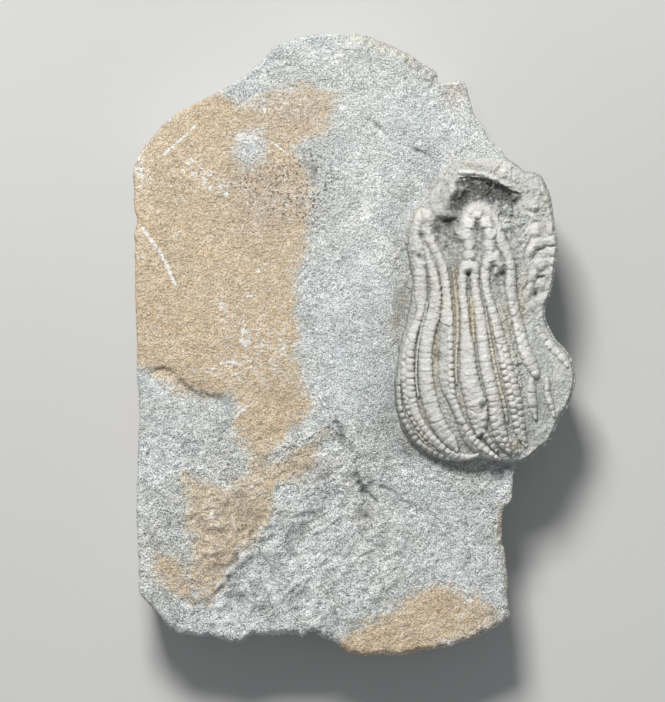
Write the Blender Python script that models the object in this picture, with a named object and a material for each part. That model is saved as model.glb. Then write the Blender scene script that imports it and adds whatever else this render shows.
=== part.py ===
"""Crinoid crown on a plate of siltstone, lying on its back face.

The plate is one natural stone with a low nodule standing on it near the right edge.
The crown lies head up on that nodule: the broken cup at the top, the arms hanging
down from it and curling in at their tips. Each arm, each run of large plates below a
fork and each surviving piece of the cup wall is its own solid of fossil calcite,
bedded on the stone.

Units are metres. Plan places are given in grid units of 0.2 mm: u to the right and
v down the plate from a datum outside its upper left corner. place() turns them into
the part's frame, whose origin is under the middle of the plate, on its flat back.
"""

import math

import bmesh
import bpy
import numpy as np
from mathutils import Vector
from mathutils.bvhtree import BVHTree
from mathutils.geometry import delaunay_2d_cdt

GRID = 0.0002  # one plan unit
MM = 0.001
THICK = 20.0  # mm, back face to the plate's top
BED_GAP = 0.35  # mm between a fossil piece and the stone it is bedded on
WIDTH_SHARE = 0.86  # solid width of an arm as a share of its full beaded width
WALL_STEP = 12.0  # grid units between wall corners
ARM_STEP = 14.0  # grid units between cross-sections of an arm

# The plate's outline seen from above, clockwise from the upper left corner.
OUTLINE = [
    (133, 178), (134, 168), (137, 159), (141, 151), (148, 142), (154, 135), (161, 127),
    (168, 120), (176, 114), (191, 106), (212, 95), (226, 88), (236, 81), (245, 76),
    (259, 63), (266, 56), (273, 48), (280, 44.5), (300, 37), (320, 34), (338, 33.5),
    (345, 36), (351, 34.5), (355, 32.5), (361, 34.5), (370, 36), (380, 40.5), (400, 49),
    (410, 54), (424, 64), (432, 68), (437, 73), (439, 82.5), (450, 81.5), (462, 80.5),
    (465, 83), (468, 90), (470, 100), (473, 111), (477, 119), (483, 125), (486, 134),
    (489, 140), (495, 144), (502, 151), (509, 160), (518, 165.5), (522, 170),
    (535, 173), (540, 176), (544, 182), (548, 190), (551, 200), (552.5, 210),
    (554, 222), (557, 240), (557.5, 250), (556, 263), (554.5, 275), (553, 283),
    (549.5, 298), (546, 304), (545, 310), (545, 317), (548, 325), (552, 333),
    (557, 341), (563, 347), (569, 354), (573, 363), (575, 373), (575.5, 382),
    (573, 392), (570, 402), (566, 410), (560, 418), (557, 426), (552, 436), (548, 443),
    (541, 448), (534, 454), (528, 459), (521, 462), (516, 463.5), (513.5, 475),
    (512.5, 485), (512, 497), (510, 503), (505, 506), (503, 513), (502, 535),
    (502, 544), (504, 548), (507.5, 573), (508, 585), (507, 593), (509.5, 612),
    (509.5, 617), (505, 621), (487, 632), (470, 641), (450, 647), (432, 651),
    (421, 650.5), (414, 653.5), (395, 655.5), (375, 655), (363, 656.5), (355, 655),
    (347, 652), (335, 643), (320, 636), (313, 632.5), (308, 633), (303, 637),
    (285, 635), (262, 635.5), (251, 635.5), (246, 639), (240, 643), (232, 643),
    (224, 641), (216, 638), (195, 636.5), (182, 635), (173, 631), (166, 625),
    (154, 610), (143, 598), (139, 592), (138.5, 580), (138, 550), (136.5, 520),
    (136.5, 490), (137.5, 450), (139.5, 416), (138, 390), (137, 365), (136, 320),
    (135, 280), (135.5, 245), (134.5, 233), (137, 221), (134, 205),
]

# Fossil pieces: name -> (cross-sections (u, v, half width), standing height in mm).
ARMS = {
    "arm_left_edge": ([(397.5, 386, 3.4), (398.5, 400, 4), (401, 414, 4), (405.5, 425, 4), (411, 434, 4),
                       (419, 443, 4), (429, 450, 3.8), (439, 455.5, 3)], 1.0),
    "arm_left_outer": ([(413, 236, 4.5), (416, 248, 6), (418.5, 262, 6), (420, 276, 6.3), (420, 290, 6),
                        (419, 303, 5.5), (416.5, 316, 5), (412.5, 330, 6), (409, 345, 6.5), (407.5, 360, 7.5),
                        (407.5, 375, 7.5), (408.5, 390, 7.5), (412, 403, 7.5), (417, 415, 7.3), (424, 427, 7),
                        (433, 439, 7), (443, 447.5, 6.5), (454, 453.5, 6.3), (466, 456, 4.6), (476, 455, 2.8)], 1.6),
    "arm_left_middle": ([(428, 264, 4), (431.5, 276, 5.5), (434.5, 288, 5.8), (435, 300, 5.8), (434, 312, 6.2),
                         (430.5, 324, 7), (427.5, 336, 7.8), (425.5, 349, 8.3), (424.7, 362, 8.3),
                         (425, 376, 8.3), (427, 390, 8.4), (431, 403, 8.6), (436, 414, 8.6), (441, 424, 8.4),
                         (447, 434, 7.6), (452.5, 441.5, 5.2)], 1.7),
    "arm_left_inner": ([(428, 236, 4.6), (433, 246, 5), (438.5, 257, 5), (443, 268, 5.2), (446, 281, 5.3),
                        (447.8, 294, 5.6), (447.8, 307, 5.8), (447, 320, 7), (446.5, 335, 7.8), (446.5, 350, 8.2),
                        (446, 365, 8.2), (446.5, 378, 8), (449, 390, 7), (453, 402, 6), (457.5, 412, 6.4),
                        (462, 422, 6.8), (466, 431, 7), (471.5, 440, 7.4), (479.5, 448, 6.8), (489, 454, 5.4),
                        (497, 457.5, 3.4)], 1.7),
    "arm_centre_left": ([(463, 275, 4), (463, 287, 4.7), (463, 299, 4.8), (463.7, 312, 5), (464.3, 325, 5.6),
                         (465.3, 338, 7), (466, 351, 8.2), (466.8, 364, 8.8), (468, 378, 9.6), (470, 390, 9.6),
                         (472.5, 401, 9.6), (475, 411, 9.2), (478, 421, 8), (482, 430, 5.6), (487.5, 438, 4.6),
                         (493, 445.5, 4), (497, 450.5, 2.8)], 1.7),
    "arm_centre": ([(474.2, 275, 4), (475.6, 287, 4.8), (476.8, 299, 5.1), (478.2, 311, 5.4), (479.8, 323, 5.9),
                    (481.5, 335, 6.4), (483.3, 347, 7), (485, 359, 7.5), (486.8, 371, 7.9), (489, 383, 8.2),
                    (491.8, 395, 8.4), (494.4, 407, 8.6), (497, 419, 8.6), (500.5, 431, 7.8), (504.5, 441, 6.6),
                    (508.5, 450, 4.6)], 1.7),
    "arm_centre_right": ([(485, 267, 4.6), (485.7, 279, 4.8), (487.2, 291, 5.2), (489.6, 303, 5.5),
                          (492.2, 316, 5.9), (495.2, 329, 6.2), (498.6, 342, 6.6), (502.2, 355, 7.4),
                          (505.8, 368, 8), (509.2, 381, 8.4), (512.7, 394, 8.4), (515.8, 406, 8.2),
                          (518, 418, 7.8), (520.5, 430, 7), (524, 440, 5.4), (526.5, 448, 3.4)], 1.7),
    "arm_broken_stub": ([(498.5, 265, 3.2), (499.5, 275, 3.4), (500, 286, 3.2), (501, 295, 2.6)], 1.1),
    "arm_right": ([(499, 233, 3.6), (503.5, 243, 4.4), (507.5, 254, 5), (510, 266, 5), (511.2, 279, 5.4),
                   (511.8, 292, 5.8), (513.3, 305, 6.4), (515.7, 318, 6.9), (518.8, 331, 7.4), (522.4, 344, 7.8),
                   (526.5, 356, 8), (531, 366, 7.6), (535.5, 374, 5)], 1.7),
    "arm_right_buried": ([(531, 383, 5), (532, 393, 5.8), (532.5, 403, 5.8), (534, 413, 5), (536, 421, 3)], 0.8),
    "arm_far_right": ([(546, 382, 3.6), (547, 392, 4.4), (550, 402, 4.8), (553, 411, 4.2), (555, 418, 2.8)], 0.8),
    "arm_lobe_edge": ([(541, 333, 3), (547, 341, 4), (553.5, 348, 4.3), (560.5, 354, 4.3), (566, 360, 3.6)], 0.8),
    "arm_margin_inner": ([(535, 227, 4.6), (536, 238, 6), (536.5, 250, 6.2), (537.5, 262, 6.4), (538.5, 274, 6.2),
                          (540, 286, 6), (541.5, 296, 4.6)], 1.4),
    "arm_margin_outer": ([(550, 238, 3.2), (550.3, 248, 4.4), (550.2, 259, 4.6), (549.6, 270, 4.4),
                          (548.6, 280, 3.4), (548, 287, 2.4)], 1.3),
    "fork_plates_left": ([(426, 208, 4.4), (422.5, 215, 7.2), (418.5, 224, 6.8), (418, 230, 5)], 1.9),
    "fork_plates_centre_left": ([(472, 219, 5), (467, 226.5, 7), (465.5, 236, 7), (468, 246, 5), (468.5, 256, 5),
                                 (468.5, 266, 8)], 2.0),
    "fork_plates_centre_right": ([(484.5, 219.5, 4.6), (487.5, 227, 6), (489, 236, 5.8), (489.3, 246, 5.2),
                                  (491, 255, 5.6), (492.5, 261, 3)], 2.0),
    "first_centre_plate": ([(467, 212.5, 3.4), (474, 210, 5), (482, 210, 5), (489, 212.5, 3.4)], 1.6),
    "cup_rim": ([(458.5, 172, 3.6), (468, 171, 4.8), (480, 169.5, 7), (492, 171, 8.6), (503, 176, 8.6),
                 (512, 183, 5.4)], 2.6),
    "cup_wall_left": ([(436, 188, 5.4), (439, 197, 9), (442, 206, 10), (445, 215, 8), (447, 219, 5)], 2.0),
    "cup_wall_right": ([(531, 180, 5), (537, 190, 7), (540, 202, 7.4), (541, 213, 5)], 1.2),
    "cup_floor_plates": ([(504, 206, 5), (506, 215, 7), (508, 225, 7), (509.5, 233, 4.6)], 1.2),
}

# Across the nodule at each v: left foot, ridge and right edge (u), and their heights above the back face in mm.
NODULE = np.array([
    (158, 456, 490, 509, 20.6, 22.6, 21.6), (175, 446, 488, 539, 20.6, 23.2, 22.4),
    (190, 436, 486, 547, 20.7, 23.4, 22.8), (205, 424, 482, 551, 20.8, 23.6, 22.8),
    (220, 413, 479, 554, 21.0, 24.2, 22.8), (240, 408, 477, 557, 21.2, 24.8, 22.8),
    (260, 408, 477, 556, 21.4, 25.2, 22.6), (280, 411, 477, 553, 21.6, 25.6, 22.3),
    (300, 413, 478, 549, 21.8, 26.0, 21.8), (320, 409, 479, 546, 21.8, 26.4, 21.4),
    (340, 402, 480, 557, 21.6, 26.8, 21.0), (360, 398, 481, 572, 21.5, 27.0, 20.9),
    (380, 395, 481, 576, 21.5, 27.0, 20.8), (400, 395, 482, 571, 21.4, 26.9, 20.8),
    (420, 398, 484, 560, 21.4, 26.4, 21.0), (440, 408, 487, 550, 21.5, 25.6, 21.6),
    (455, 424, 490, 534, 21.8, 24.8, 22.4), (464, 446, 492, 518, 22.2, 24.0, 22.8),
])


def spline(points, step, closed=False):
    """Points about step apart along a centripetal-like Catmull-Rom curve through points."""
    p = np.array(points, float)
    n = len(p)
    spans = n if closed else n - 1
    dense = []
    for i in range(spans):
        if closed:
            a, b, c, d = (p[(i + k - 1) % n] for k in range(4))
        else:
            a, b, c, d = (p[min(max(i + k - 1, 0), n - 1)] for k in range(4))
        for t in np.linspace(0, 1, 16, endpoint=False):
            dense.append(0.5 * (2 * b + (c - a) * t + (2 * a - 5 * b + 4 * c - d) * t**2
                                + (3 * b - a - 3 * c + d) * t**3))
    if not closed:
        dense.append(p[-1])
    dense = np.array(dense)
    if closed:
        dense = np.vstack([dense, dense[:1]])
    along = np.concatenate([[0], np.cumsum(np.linalg.norm(np.diff(dense[:, :2], axis=0), axis=1))])
    count = max(2, round(along[-1] / step)) + (0 if closed else 1)
    at = np.linspace(0, along[-1], count, endpoint=not closed)
    return np.stack([np.interp(at, along, dense[:, k]) for k in range(dense.shape[1])], axis=1)


PLATE = spline(OUTLINE, WALL_STEP, closed=True)
MID = (PLATE.min(0) + PLATE.max(0)) / 2


def place(u, v, z_mm):
    return Vector(((u - MID[0]) * GRID, (MID[1] - v) * GRID, z_mm * MM))


def bump(u, v, cu, cv, ru, rv, turn=0.0):
    """A smooth mound, 1 at its middle, with reaches ru and rv along axes turned by turn degrees."""
    a = math.radians(turn)
    du, dv = u - cu, v - cv
    x = du * math.cos(a) + dv * math.sin(a)
    y = -du * math.sin(a) + dv * math.cos(a)
    return np.exp(-((x / ru) ** 2) - (y / rv) ** 2)


def step(x):
    x = np.clip(x, 0, 1)
    return x * x * (3 - 2 * x)


def height(u, v):
    """The stone's top surface in mm above the back face."""
    z = THICK + 0.5 * bump(u, v, 190, 250, 110, 170)
    z = z - 1.0 * bump(u, v, 150, 625, 80, 40) - 0.7 * bump(u, v, 160, 440, 60, 60)
    z = z + 0.7 * bump(u, v, 335, 445, 45, 22, -25) - 0.8 * bump(u, v, 270, 560, 110, 22, -38)
    z = z - 1.1 * bump(u, v, 400, 520, 130, 40, 12) - 1.2 * bump(u, v, 455, 95, 30, 25)
    z = z - 1.4 * bump(u, v, 392, 400, 20, 70, 8) - 1.0 * bump(u, v, 418, 190, 16, 60, 38)
    foot, ridge, edge, zf, zr, ze = (np.interp(v, NODULE[:, 0], NODULE[:, k]) for k in range(1, 7))
    left = step((u - foot) / (ridge - foot)) * 0.45 + 0.55 * np.clip((u - foot) / (ridge - foot), 0, 1) ** 0.6
    right = step((edge - u) / (edge - ridge))
    top = np.where(u < ridge, zf + (zr - zf) * left, ze + (zr - ze) * right)
    inside = step((u - foot + 14) / 16) * step((v - 146) / 18) * step((469 - v) / 9)
    hollow = 3.6 * bump(u, v, 490, 191, 30, 11, 12) + 2.0 * bump(u, v, 455, 207, 12, 9) + 1.8 * bump(u, v, 446, 229, 11, 8)
    return z + (top - z) * inside - hollow


def shoulder(u, v):
    """How far the top face's edge stands in from the outline, in mm."""
    wide = step((u - 340) / 20) * step((440 - u) / 10) * step((95 - v) / 15)
    right = step((v - 500) / 12) * step((u - 470) / 20)
    base = step((v - 610) / 20)
    return 0.5 + 1.7 * wide + 0.8 * right + 0.5 * base


def undercut(u, v):
    """How far the back face's edge stands in from the outline, in mm."""
    return 1.6 + 2.2 * step((u - 500) / 40) * step((480 - v) / 30)


def inward(ring):
    """Unit vectors pointing into the plate at each corner of a clockwise-in-plan ring."""
    t = np.roll(ring, -1, 0) - np.roll(ring, 1, 0)
    t /= np.linalg.norm(t, axis=1)[:, None]
    return np.stack([-t[:, 1], t[:, 0]], axis=1)


def inset(ring, by_mm):
    return ring + inward(ring) * (by_mm / (GRID / MM))[:, None]


def material(name, colour, rough):
    m = bpy.data.materials.new(name)
    m.use_nodes = True
    p = m.node_tree.nodes["Principled BSDF"]
    p.inputs["Base Color"].default_value = (*colour, 1)
    p.inputs["Roughness"].default_value = rough
    p.inputs["Metallic"].default_value = 0.0
    return m


def add_object(name, bm, mat):
    bmesh.ops.recalc_face_normals(bm, faces=bm.faces[:])
    mesh = bpy.data.meshes.new(name)
    bm.to_mesh(mesh)
    bm.free()
    mesh.materials.append(mat)
    ob = bpy.data.objects.new(name, mesh)
    bpy.context.scene.collection.objects.link(ob)
    return ob


def point_inside(ring, p):
    x, y = p
    x0, y0 = ring[:, 0], ring[:, 1]
    x1, y1 = np.roll(x0, -1), np.roll(y0, -1)
    cross = (y0 > y) != (y1 > y)
    with np.errstate(divide="ignore", invalid="ignore"):
        at = x0 + (y - y0) * (x1 - x0) / (y1 - y0)
    return bool(np.count_nonzero(cross & (x < at)) % 2)


def nearest(ring, p):
    return float(np.min(np.hypot(ring[:, 0] - p[0], ring[:, 1] - p[1])))


def build_stone(mat):
    rim = inset(PLATE, shoulder(PLATE[:, 0], PLATE[:, 1]))
    points = [tuple(p) for p in rim]
    # Points inside the rim: close together over the nodule, wide apart on the flat of the plate.
    for spacing, fine in ((26.0, False), (10.5, True)):
        row = 0
        v = 30.0
        while v < 660:
            u = 128.0 + (spacing / 2 if row % 2 else 0)
            while u < 585:
                over = u > 385 and 148 < v < 482 and (u > 400 or v > 200)
                if over == fine and point_inside(rim, (u, v)) and nearest(rim, (u, v)) > 0.55 * spacing:
                    points.append((u, v))
                u += spacing
            v += spacing * 0.87
            row += 1
    count = len(rim)
    edges = [(i, (i + 1) % count) for i in range(count)]
    verts, _, faces, *_ = delaunay_2d_cdt([Vector(p) for p in points], edges, [], 1, 1e-4)
    bm = bmesh.new()
    top = []
    for p in verts:
        z = float(height(np.array(p[0]), np.array(p[1])))
        top.append(bm.verts.new(place(p[0], p[1], z)))
    for f in faces:
        bm.faces.new([top[i] for i in f])
    loop = top[:count]
    # The broken wall: share of the height, share of the undercut, and reach of its chips in mm.
    chance = np.random.default_rng(11)
    levels = ((0.84, 0.0, 0.0), (0.58, 0.15, 0.7), (0.3, 0.45, 1.1), (0.0, 1.0, 0.8))
    for share, cut, chip in levels:
        rough = chance.uniform(0, 1, count)
        rough = (rough + np.roll(rough, 1)) / 2 * chip
        ring = inset(PLATE, undercut(PLATE[:, 0], PLATE[:, 1]) * cut + rough)
        sway = chance.uniform(-0.03, 0.03, count) if share else np.zeros(count)
        new = []
        for i, p in enumerate(ring):
            z = float(height(np.array(rim[i, 0]), np.array(rim[i, 1]))) * (share + sway[i])
            new.append(bm.verts.new(place(p[0], p[1], z)))
        for i in range(count):
            j = (i + 1) % count
            bm.faces.new([loop[i], loop[j], new[j], new[i]])
        loop = new
    bm.faces.new(loop)
    bmesh.ops.triangulate(bm, faces=[f for f in bm.faces if len(f.verts) == 4])
    return add_object("matrix_slab", bm, mat)


ACROSS = (-1.0, -0.55, 0.0, 0.55, 1.0)


def ground_under(tree, u, v):
    hit = tree.ray_cast(place(u, v, 60), Vector((0, 0, -1)))[0]
    return hit.z / MM if hit else float(height(np.array(u), np.array(v)))


def bedding(plan, tree):
    """Heights for a grid of plan points so that no facet between them dips into the stone."""
    rows, cols = plan.shape[:2]
    bed = np.array([[ground_under(tree, *plan[i, k]) for k in range(cols)] for i in range(rows)])
    steps = (0.0, 0.25, 0.5, 0.75, 1.0)
    for _ in range(3):
        raised = bed.copy()
        for i in range(rows - 1):
            for k in range(cols - 1):
                for a in steps:
                    for b in steps:
                        w = ((1 - a) * (1 - b), (1 - a) * b, a * (1 - b), a * b)
                        cells = ((i, k), (i, k + 1), (i + 1, k), (i + 1, k + 1))
                        at = sum(wi * plan[c] for wi, c in zip(w, cells))
                        low = sum(wi * bed[c] for wi, c in zip(w, cells))
                        deficit = ground_under(tree, *at) - low
                        if deficit > 0.02:
                            for c in cells:
                                raised[c] = max(raised[c], bed[c] + deficit)
        bed = raised
    return bed + BED_GAP


def build_fossil_piece(name, sections, tall, tree, mat):
    """A low vault that follows its line over the stone, with rounded flanks and closed ends."""
    line = spline(sections, ARM_STEP)
    if len(line) < 4:
        line = spline(sections, ARM_STEP / 2)
    way = np.gradient(line[:, :2], axis=0)
    way /= np.linalg.norm(way, axis=1)[:, None]
    side = np.stack([-way[:, 1], way[:, 0]], axis=1)
    last = len(line) - 1
    ends = np.array([0.72 if i in (0, last) else 1.0 for i in range(last + 1)])
    plan = np.array([[line[i, :2] + side[i] * t * line[i, 2] * WIDTH_SHARE * ends[i] for t in ACROSS]
                     for i in range(last + 1)])
    bed = bedding(plan, tree)
    bm = bmesh.new()
    rings = []
    for i in range(last + 1):
        lower, upper = [], []
        for k, t in enumerate(ACROSS):
            vault = 0.30 + 0.70 * math.sqrt(max(0.0, 1 - t * t))
            lower.append((*plan[i, k], bed[i, k]))
            upper.append((*plan[i, k], bed[i, k] + tall * vault * ends[i]))
        ring = lower + upper[::-1]
        rings.append([bm.verts.new(place(*p)) for p in ring])
    n = len(rings[0])
    for a, b in zip(rings, rings[1:]):
        for k in range(n):
            m = (k + 1) % n
            bm.faces.new([a[k], a[m], b[m], b[k]])
    bm.faces.new(rings[0])
    bm.faces.new(rings[-1])
    bmesh.ops.triangulate(bm, faces=bm.faces[:])
    return add_object(name, bm, mat)


def main():
    for ob in list(bpy.data.objects):
        bpy.data.objects.remove(ob, do_unlink=True)
    stone = material("siltstone", (0.52, 0.55, 0.54), 0.92)
    calcite = material("fossil_calcite", (0.62, 0.60, 0.56), 0.8)
    slab = build_stone(stone)
    bpy.context.view_layer.update()
    tree = BVHTree.FromObject(slab, bpy.context.evaluated_depsgraph_get())
    for name, (sections, tall) in ARMS.items():
        build_fossil_piece(name, sections, tall, tree, calcite)


main()
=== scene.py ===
"""The looks of the crinoid fossil: a weathered siltstone plate with one crown in relief.

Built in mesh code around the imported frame. Plan places are grid units of 0.2 mm, u to
the right and v down the plate, as in the part; place() turns them into the frame.
"""

import math

import bmesh
import bpy
import numpy as np
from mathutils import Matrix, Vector
from mathutils.geometry import delaunay_2d_cdt


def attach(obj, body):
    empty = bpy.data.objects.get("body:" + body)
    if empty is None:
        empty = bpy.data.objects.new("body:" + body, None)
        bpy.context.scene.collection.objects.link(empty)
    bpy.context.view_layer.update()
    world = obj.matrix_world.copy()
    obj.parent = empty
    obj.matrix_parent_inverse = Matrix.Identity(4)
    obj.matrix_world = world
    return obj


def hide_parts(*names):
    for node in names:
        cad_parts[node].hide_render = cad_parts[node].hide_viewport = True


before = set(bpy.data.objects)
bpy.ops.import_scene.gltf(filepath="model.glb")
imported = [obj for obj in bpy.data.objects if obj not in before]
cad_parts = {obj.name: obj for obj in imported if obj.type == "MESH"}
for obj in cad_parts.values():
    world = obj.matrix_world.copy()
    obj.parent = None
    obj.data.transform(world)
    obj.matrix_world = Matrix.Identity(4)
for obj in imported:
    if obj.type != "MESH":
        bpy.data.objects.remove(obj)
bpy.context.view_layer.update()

GRID = 0.0002
MM = 0.001
THICK = 20.0

# ------------------------------------------------------------------ outline

OUTLINE = [
    (133, 178), (134, 168), (137, 159), (141, 151), (148, 142), (154, 135), (161, 127),
    (168, 120), (176, 114), (183, 110), (191, 106), (200, 101), (212, 95), (218, 91), (226, 88),
    (236, 81), (245, 76), (251, 70), (259, 63), (266, 56), (273, 48), (280, 44.5), (290, 41),
    (300, 37), (310, 35.5), (320, 34), (330, 33.5), (338, 33.5), (345, 36), (351, 34.5),
    (355, 32.5), (361, 34.5), (370, 36), (380, 40.5), (390, 44), (400, 49), (410, 54),
    (417, 59), (424, 64), (432, 68), (437, 73), (438, 78), (439, 82.5), (450, 81.5),
    (462, 80.5), (465, 83), (468, 90), (470, 100), (473, 111), (477, 119), (483, 125),
    (486, 134), (489, 140), (495, 144), (502, 151), (509, 160), (515, 164.5), (518, 165.5),
    (522, 170), (528, 171.5), (535, 173), (540, 176), (544, 182), (548, 190), (551, 200),
    (552.5, 210), (554, 222), (555, 232), (557, 240), (557.5, 250), (556, 263),
    (554.5, 275), (553, 283), (551, 291), (549.5, 298), (546, 304), (545, 310), (545, 317),
    (548, 325), (552, 333), (557, 341), (563, 347), (569, 354), (573, 363), (575, 373),
    (575.5, 382), (573, 392), (570, 402), (566, 410), (560, 418), (557, 426), (552, 436),
    (548, 443), (541, 448), (534, 454), (528, 459), (521, 462), (516, 463), (515, 467),
    (513.5, 475), (512.5, 485), (512, 497), (510, 503), (505, 506), (503, 513),
    (502.5, 520), (502, 535), (502, 544), (504, 548), (505.5, 560), (507.5, 573),
    (508, 585), (507, 593), (508, 602), (509.5, 612), (509.5, 617), (505, 621), (497, 627),
    (487, 632), (478, 637), (470, 641), (460, 643), (450, 647), (440, 649), (432, 651),
    (421, 650.5), (414, 653.5), (405, 654.5), (395, 655.5), (385, 655), (375, 655),
    (363, 656.5), (355, 655), (347, 652), (341, 648), (335, 643), (328, 640), (320, 636),
    (313, 632.5), (308, 633), (303, 637), (295, 635.5), (285, 635), (275, 636),
    (262, 635.5), (251, 635.5), (246, 639), (240, 643), (232, 643), (224, 641), (216, 638),
    (205, 637), (195, 636.5), (182, 635), (173, 631), (166, 625), (160, 617), (154, 610),
    (149, 604), (143, 598), (139, 592), (138.5, 580), (138.5, 565), (138, 550),
    (137.5, 535), (136.5, 520), (136.5, 505), (136.5, 490), (137.5, 470), (137.5, 450),
    (138, 435), (139.5, 420), (139.5, 412), (138.5, 400), (138.5, 390), (137, 380),
    (137, 365), (137, 345), (136, 320), (135.5, 300), (135, 280), (135, 265),
    (134.5, 255), (135.5, 245), (134.5, 233), (137, 225), (137, 217), (134.5, 210),
    (134, 200), (134, 190),
]

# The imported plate's middle in grid units: its box is centred on the frame's origin.
MID = np.array([354.2894, 344.7407])


def place(p, z):
    """Plan points (n, 2) and heights in mm to frame points (n, 3)."""
    p = np.asarray(p, float)
    return np.stack([(p[:, 0] - MID[0]) * GRID, (MID[1] - p[:, 1]) * GRID, np.asarray(z) * MM], axis=1)


def spline(points, step, closed=False):
    """Points about step apart along a Catmull-Rom curve through points; extra columns follow."""
    p = np.array(points, float)
    n = len(p)
    spans = n if closed else n - 1
    dense = []
    t = np.linspace(0, 1, 24, endpoint=False)[:, None]
    for i in range(spans):
        if closed:
            a, b, c, d = (p[(i + k - 1) % n] for k in range(4))
        else:
            a, b, c, d = (p[min(max(i + k - 1, 0), n - 1)] for k in range(4))
        dense.append(0.5 * (2 * b + (c - a) * t + (2 * a - 5 * b + 4 * c - d) * t**2
                            + (3 * b - a - 3 * c + d) * t**3))
    dense = np.vstack(dense)
    dense = np.vstack([dense, dense[:1] if closed else p[-1:]])
    along = np.concatenate([[0], np.cumsum(np.linalg.norm(np.diff(dense[:, :2], axis=0), axis=1))])
    count = max(2, round(along[-1] / step)) + (0 if closed else 1)
    at = np.linspace(0, along[-1], count, endpoint=not closed)
    return np.stack([np.interp(at, along, dense[:, k]) for k in range(dense.shape[1])], axis=1), at


# ------------------------------------------------------------------ noise


def _lattice(ix, iy, seed):
    h = (ix.astype(np.int64) * 374761393 + iy.astype(np.int64) * 668265263 + seed * 974634777) & 0xFFFFFFFF
    h = ((h ^ (h >> 13)) * 1274126177) & 0xFFFFFFFF
    h = ((h ^ (h >> 16)) * 2246822519) & 0xFFFFFFFF
    return (h ^ (h >> 15)) & 0xFFFFFFFF


def unit(ix, iy, seed):
    return _lattice(ix, iy, seed) / 4294967296.0


def noise(x, y, seed=0):
    """Gradient noise, about -1 to 1."""
    x, y = np.broadcast_arrays(np.asarray(x, float), np.asarray(y, float))
    xi, yi = np.floor(x), np.floor(y)
    xf, yf = x - xi, y - yi
    sx = xf**3 * (xf * (xf * 6 - 15) + 10)
    sy = yf**3 * (yf * (yf * 6 - 15) + 10)

    def corner(dx, dy):
        a = unit(xi + dx, yi + dy, seed) * 2 * math.pi
        return np.cos(a) * (xf - dx) + np.sin(a) * (yf - dy)

    top = corner(0, 0) * (1 - sx) + corner(1, 0) * sx
    low = corner(0, 1) * (1 - sx) + corner(1, 1) * sx
    return (top * (1 - sy) + low * sy) * 1.5


def fbm(x, y, octaves=4, seed=0, gain=0.5):
    total, amp, norm = 0.0, 1.0, 0.0
    for k in range(octaves):
        total = total + amp * noise(x * 2**k + 17.3 * k, y * 2**k - 9.1 * k, seed + 31 * k)
        norm += amp
        amp *= gain
    return total / norm


def cells(x, y, seed=0):
    """Distance to the nearest and second nearest scattered point, and the nearest one's own number."""
    x, y = np.broadcast_arrays(np.asarray(x, float), np.asarray(y, float))
    xi, yi = np.floor(x), np.floor(y)
    first = np.full(x.shape, 9.0)
    second = np.full(x.shape, 9.0)
    tag = np.zeros(x.shape)
    for dx in (-1, 0, 1):
        for dy in (-1, 0, 1):
            cx, cy = xi + dx, yi + dy
            px = cx + unit(cx, cy, seed)
            py = cy + unit(cx, cy, seed + 5)
            d = np.hypot(px - x, py - y)
            nearer = d < first
            second = np.where(nearer, first, np.minimum(second, d))
            tag = np.where(nearer, unit(cx, cy, seed + 9), tag)
            first = np.where(nearer, d, first)
    return first, second, tag


def ease(x):
    x = np.clip(x, 0, 1)
    return x * x * (3 - 2 * x)


def bump(u, v, cu, cv, ru, rv, turn=0.0):
    a = math.radians(turn)
    du, dv = u - cu, v - cv
    x = du * math.cos(a) + dv * math.sin(a)
    y = -du * math.sin(a) + dv * math.cos(a)
    return np.exp(-((x / ru) ** 2) - (y / rv) ** 2)


# ------------------------------------------------------------------ plan geometry


def to_line(u, v, line, closed=False):
    """Distance to a polyline, which side (left of travel > 0 in plan), and how far along (0 to 1)."""
    line = np.asarray(line, float)
    if closed:
        line = np.vstack([line, line[:1]])
    best = np.full(np.shape(u), 1e9)
    side = np.zeros(np.shape(u))
    share = np.zeros(np.shape(u))
    lengths = np.linalg.norm(np.diff(line, axis=0), axis=1)
    start = np.concatenate([[0], np.cumsum(lengths)])
    for i in range(len(line) - 1):
        ax, ay = line[i]
        dx, dy = line[i + 1] - line[i]
        ll = dx * dx + dy * dy
        t = np.clip(((u - ax) * dx + (v - ay) * dy) / ll, 0, 1)
        d = np.hypot(u - ax - t * dx, v - ay - t * dy)
        near = d < best
        best = np.where(near, d, best)
        side = np.where(near, np.sign(dx * (v - ay) - dy * (u - ax)), side)
        share = np.where(near, (start[i] + t * lengths[i]) / start[-1], share)
    return best, side, share


def inside(u, v, ring):
    ring = np.asarray(ring, float)
    hit = np.zeros(np.shape(u), bool)
    x0, y0 = ring[:, 0], ring[:, 1]
    x1, y1 = np.roll(x0, -1), np.roll(y0, -1)
    for a, b, c, d in zip(x0, y0, x1, y1):
        if b == d:
            continue
        hit ^= ((b > v) != (d > v)) & (u < a + (v - b) * (c - a) / (d - b))
    return hit


def signed(u, v, ring):
    """Distance to a closed ring, positive inside."""
    d = to_line(u, v, ring, closed=True)[0]
    return np.where(inside(u, v, ring), d, -d)


# ------------------------------------------------------------------ the stone's relief

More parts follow.
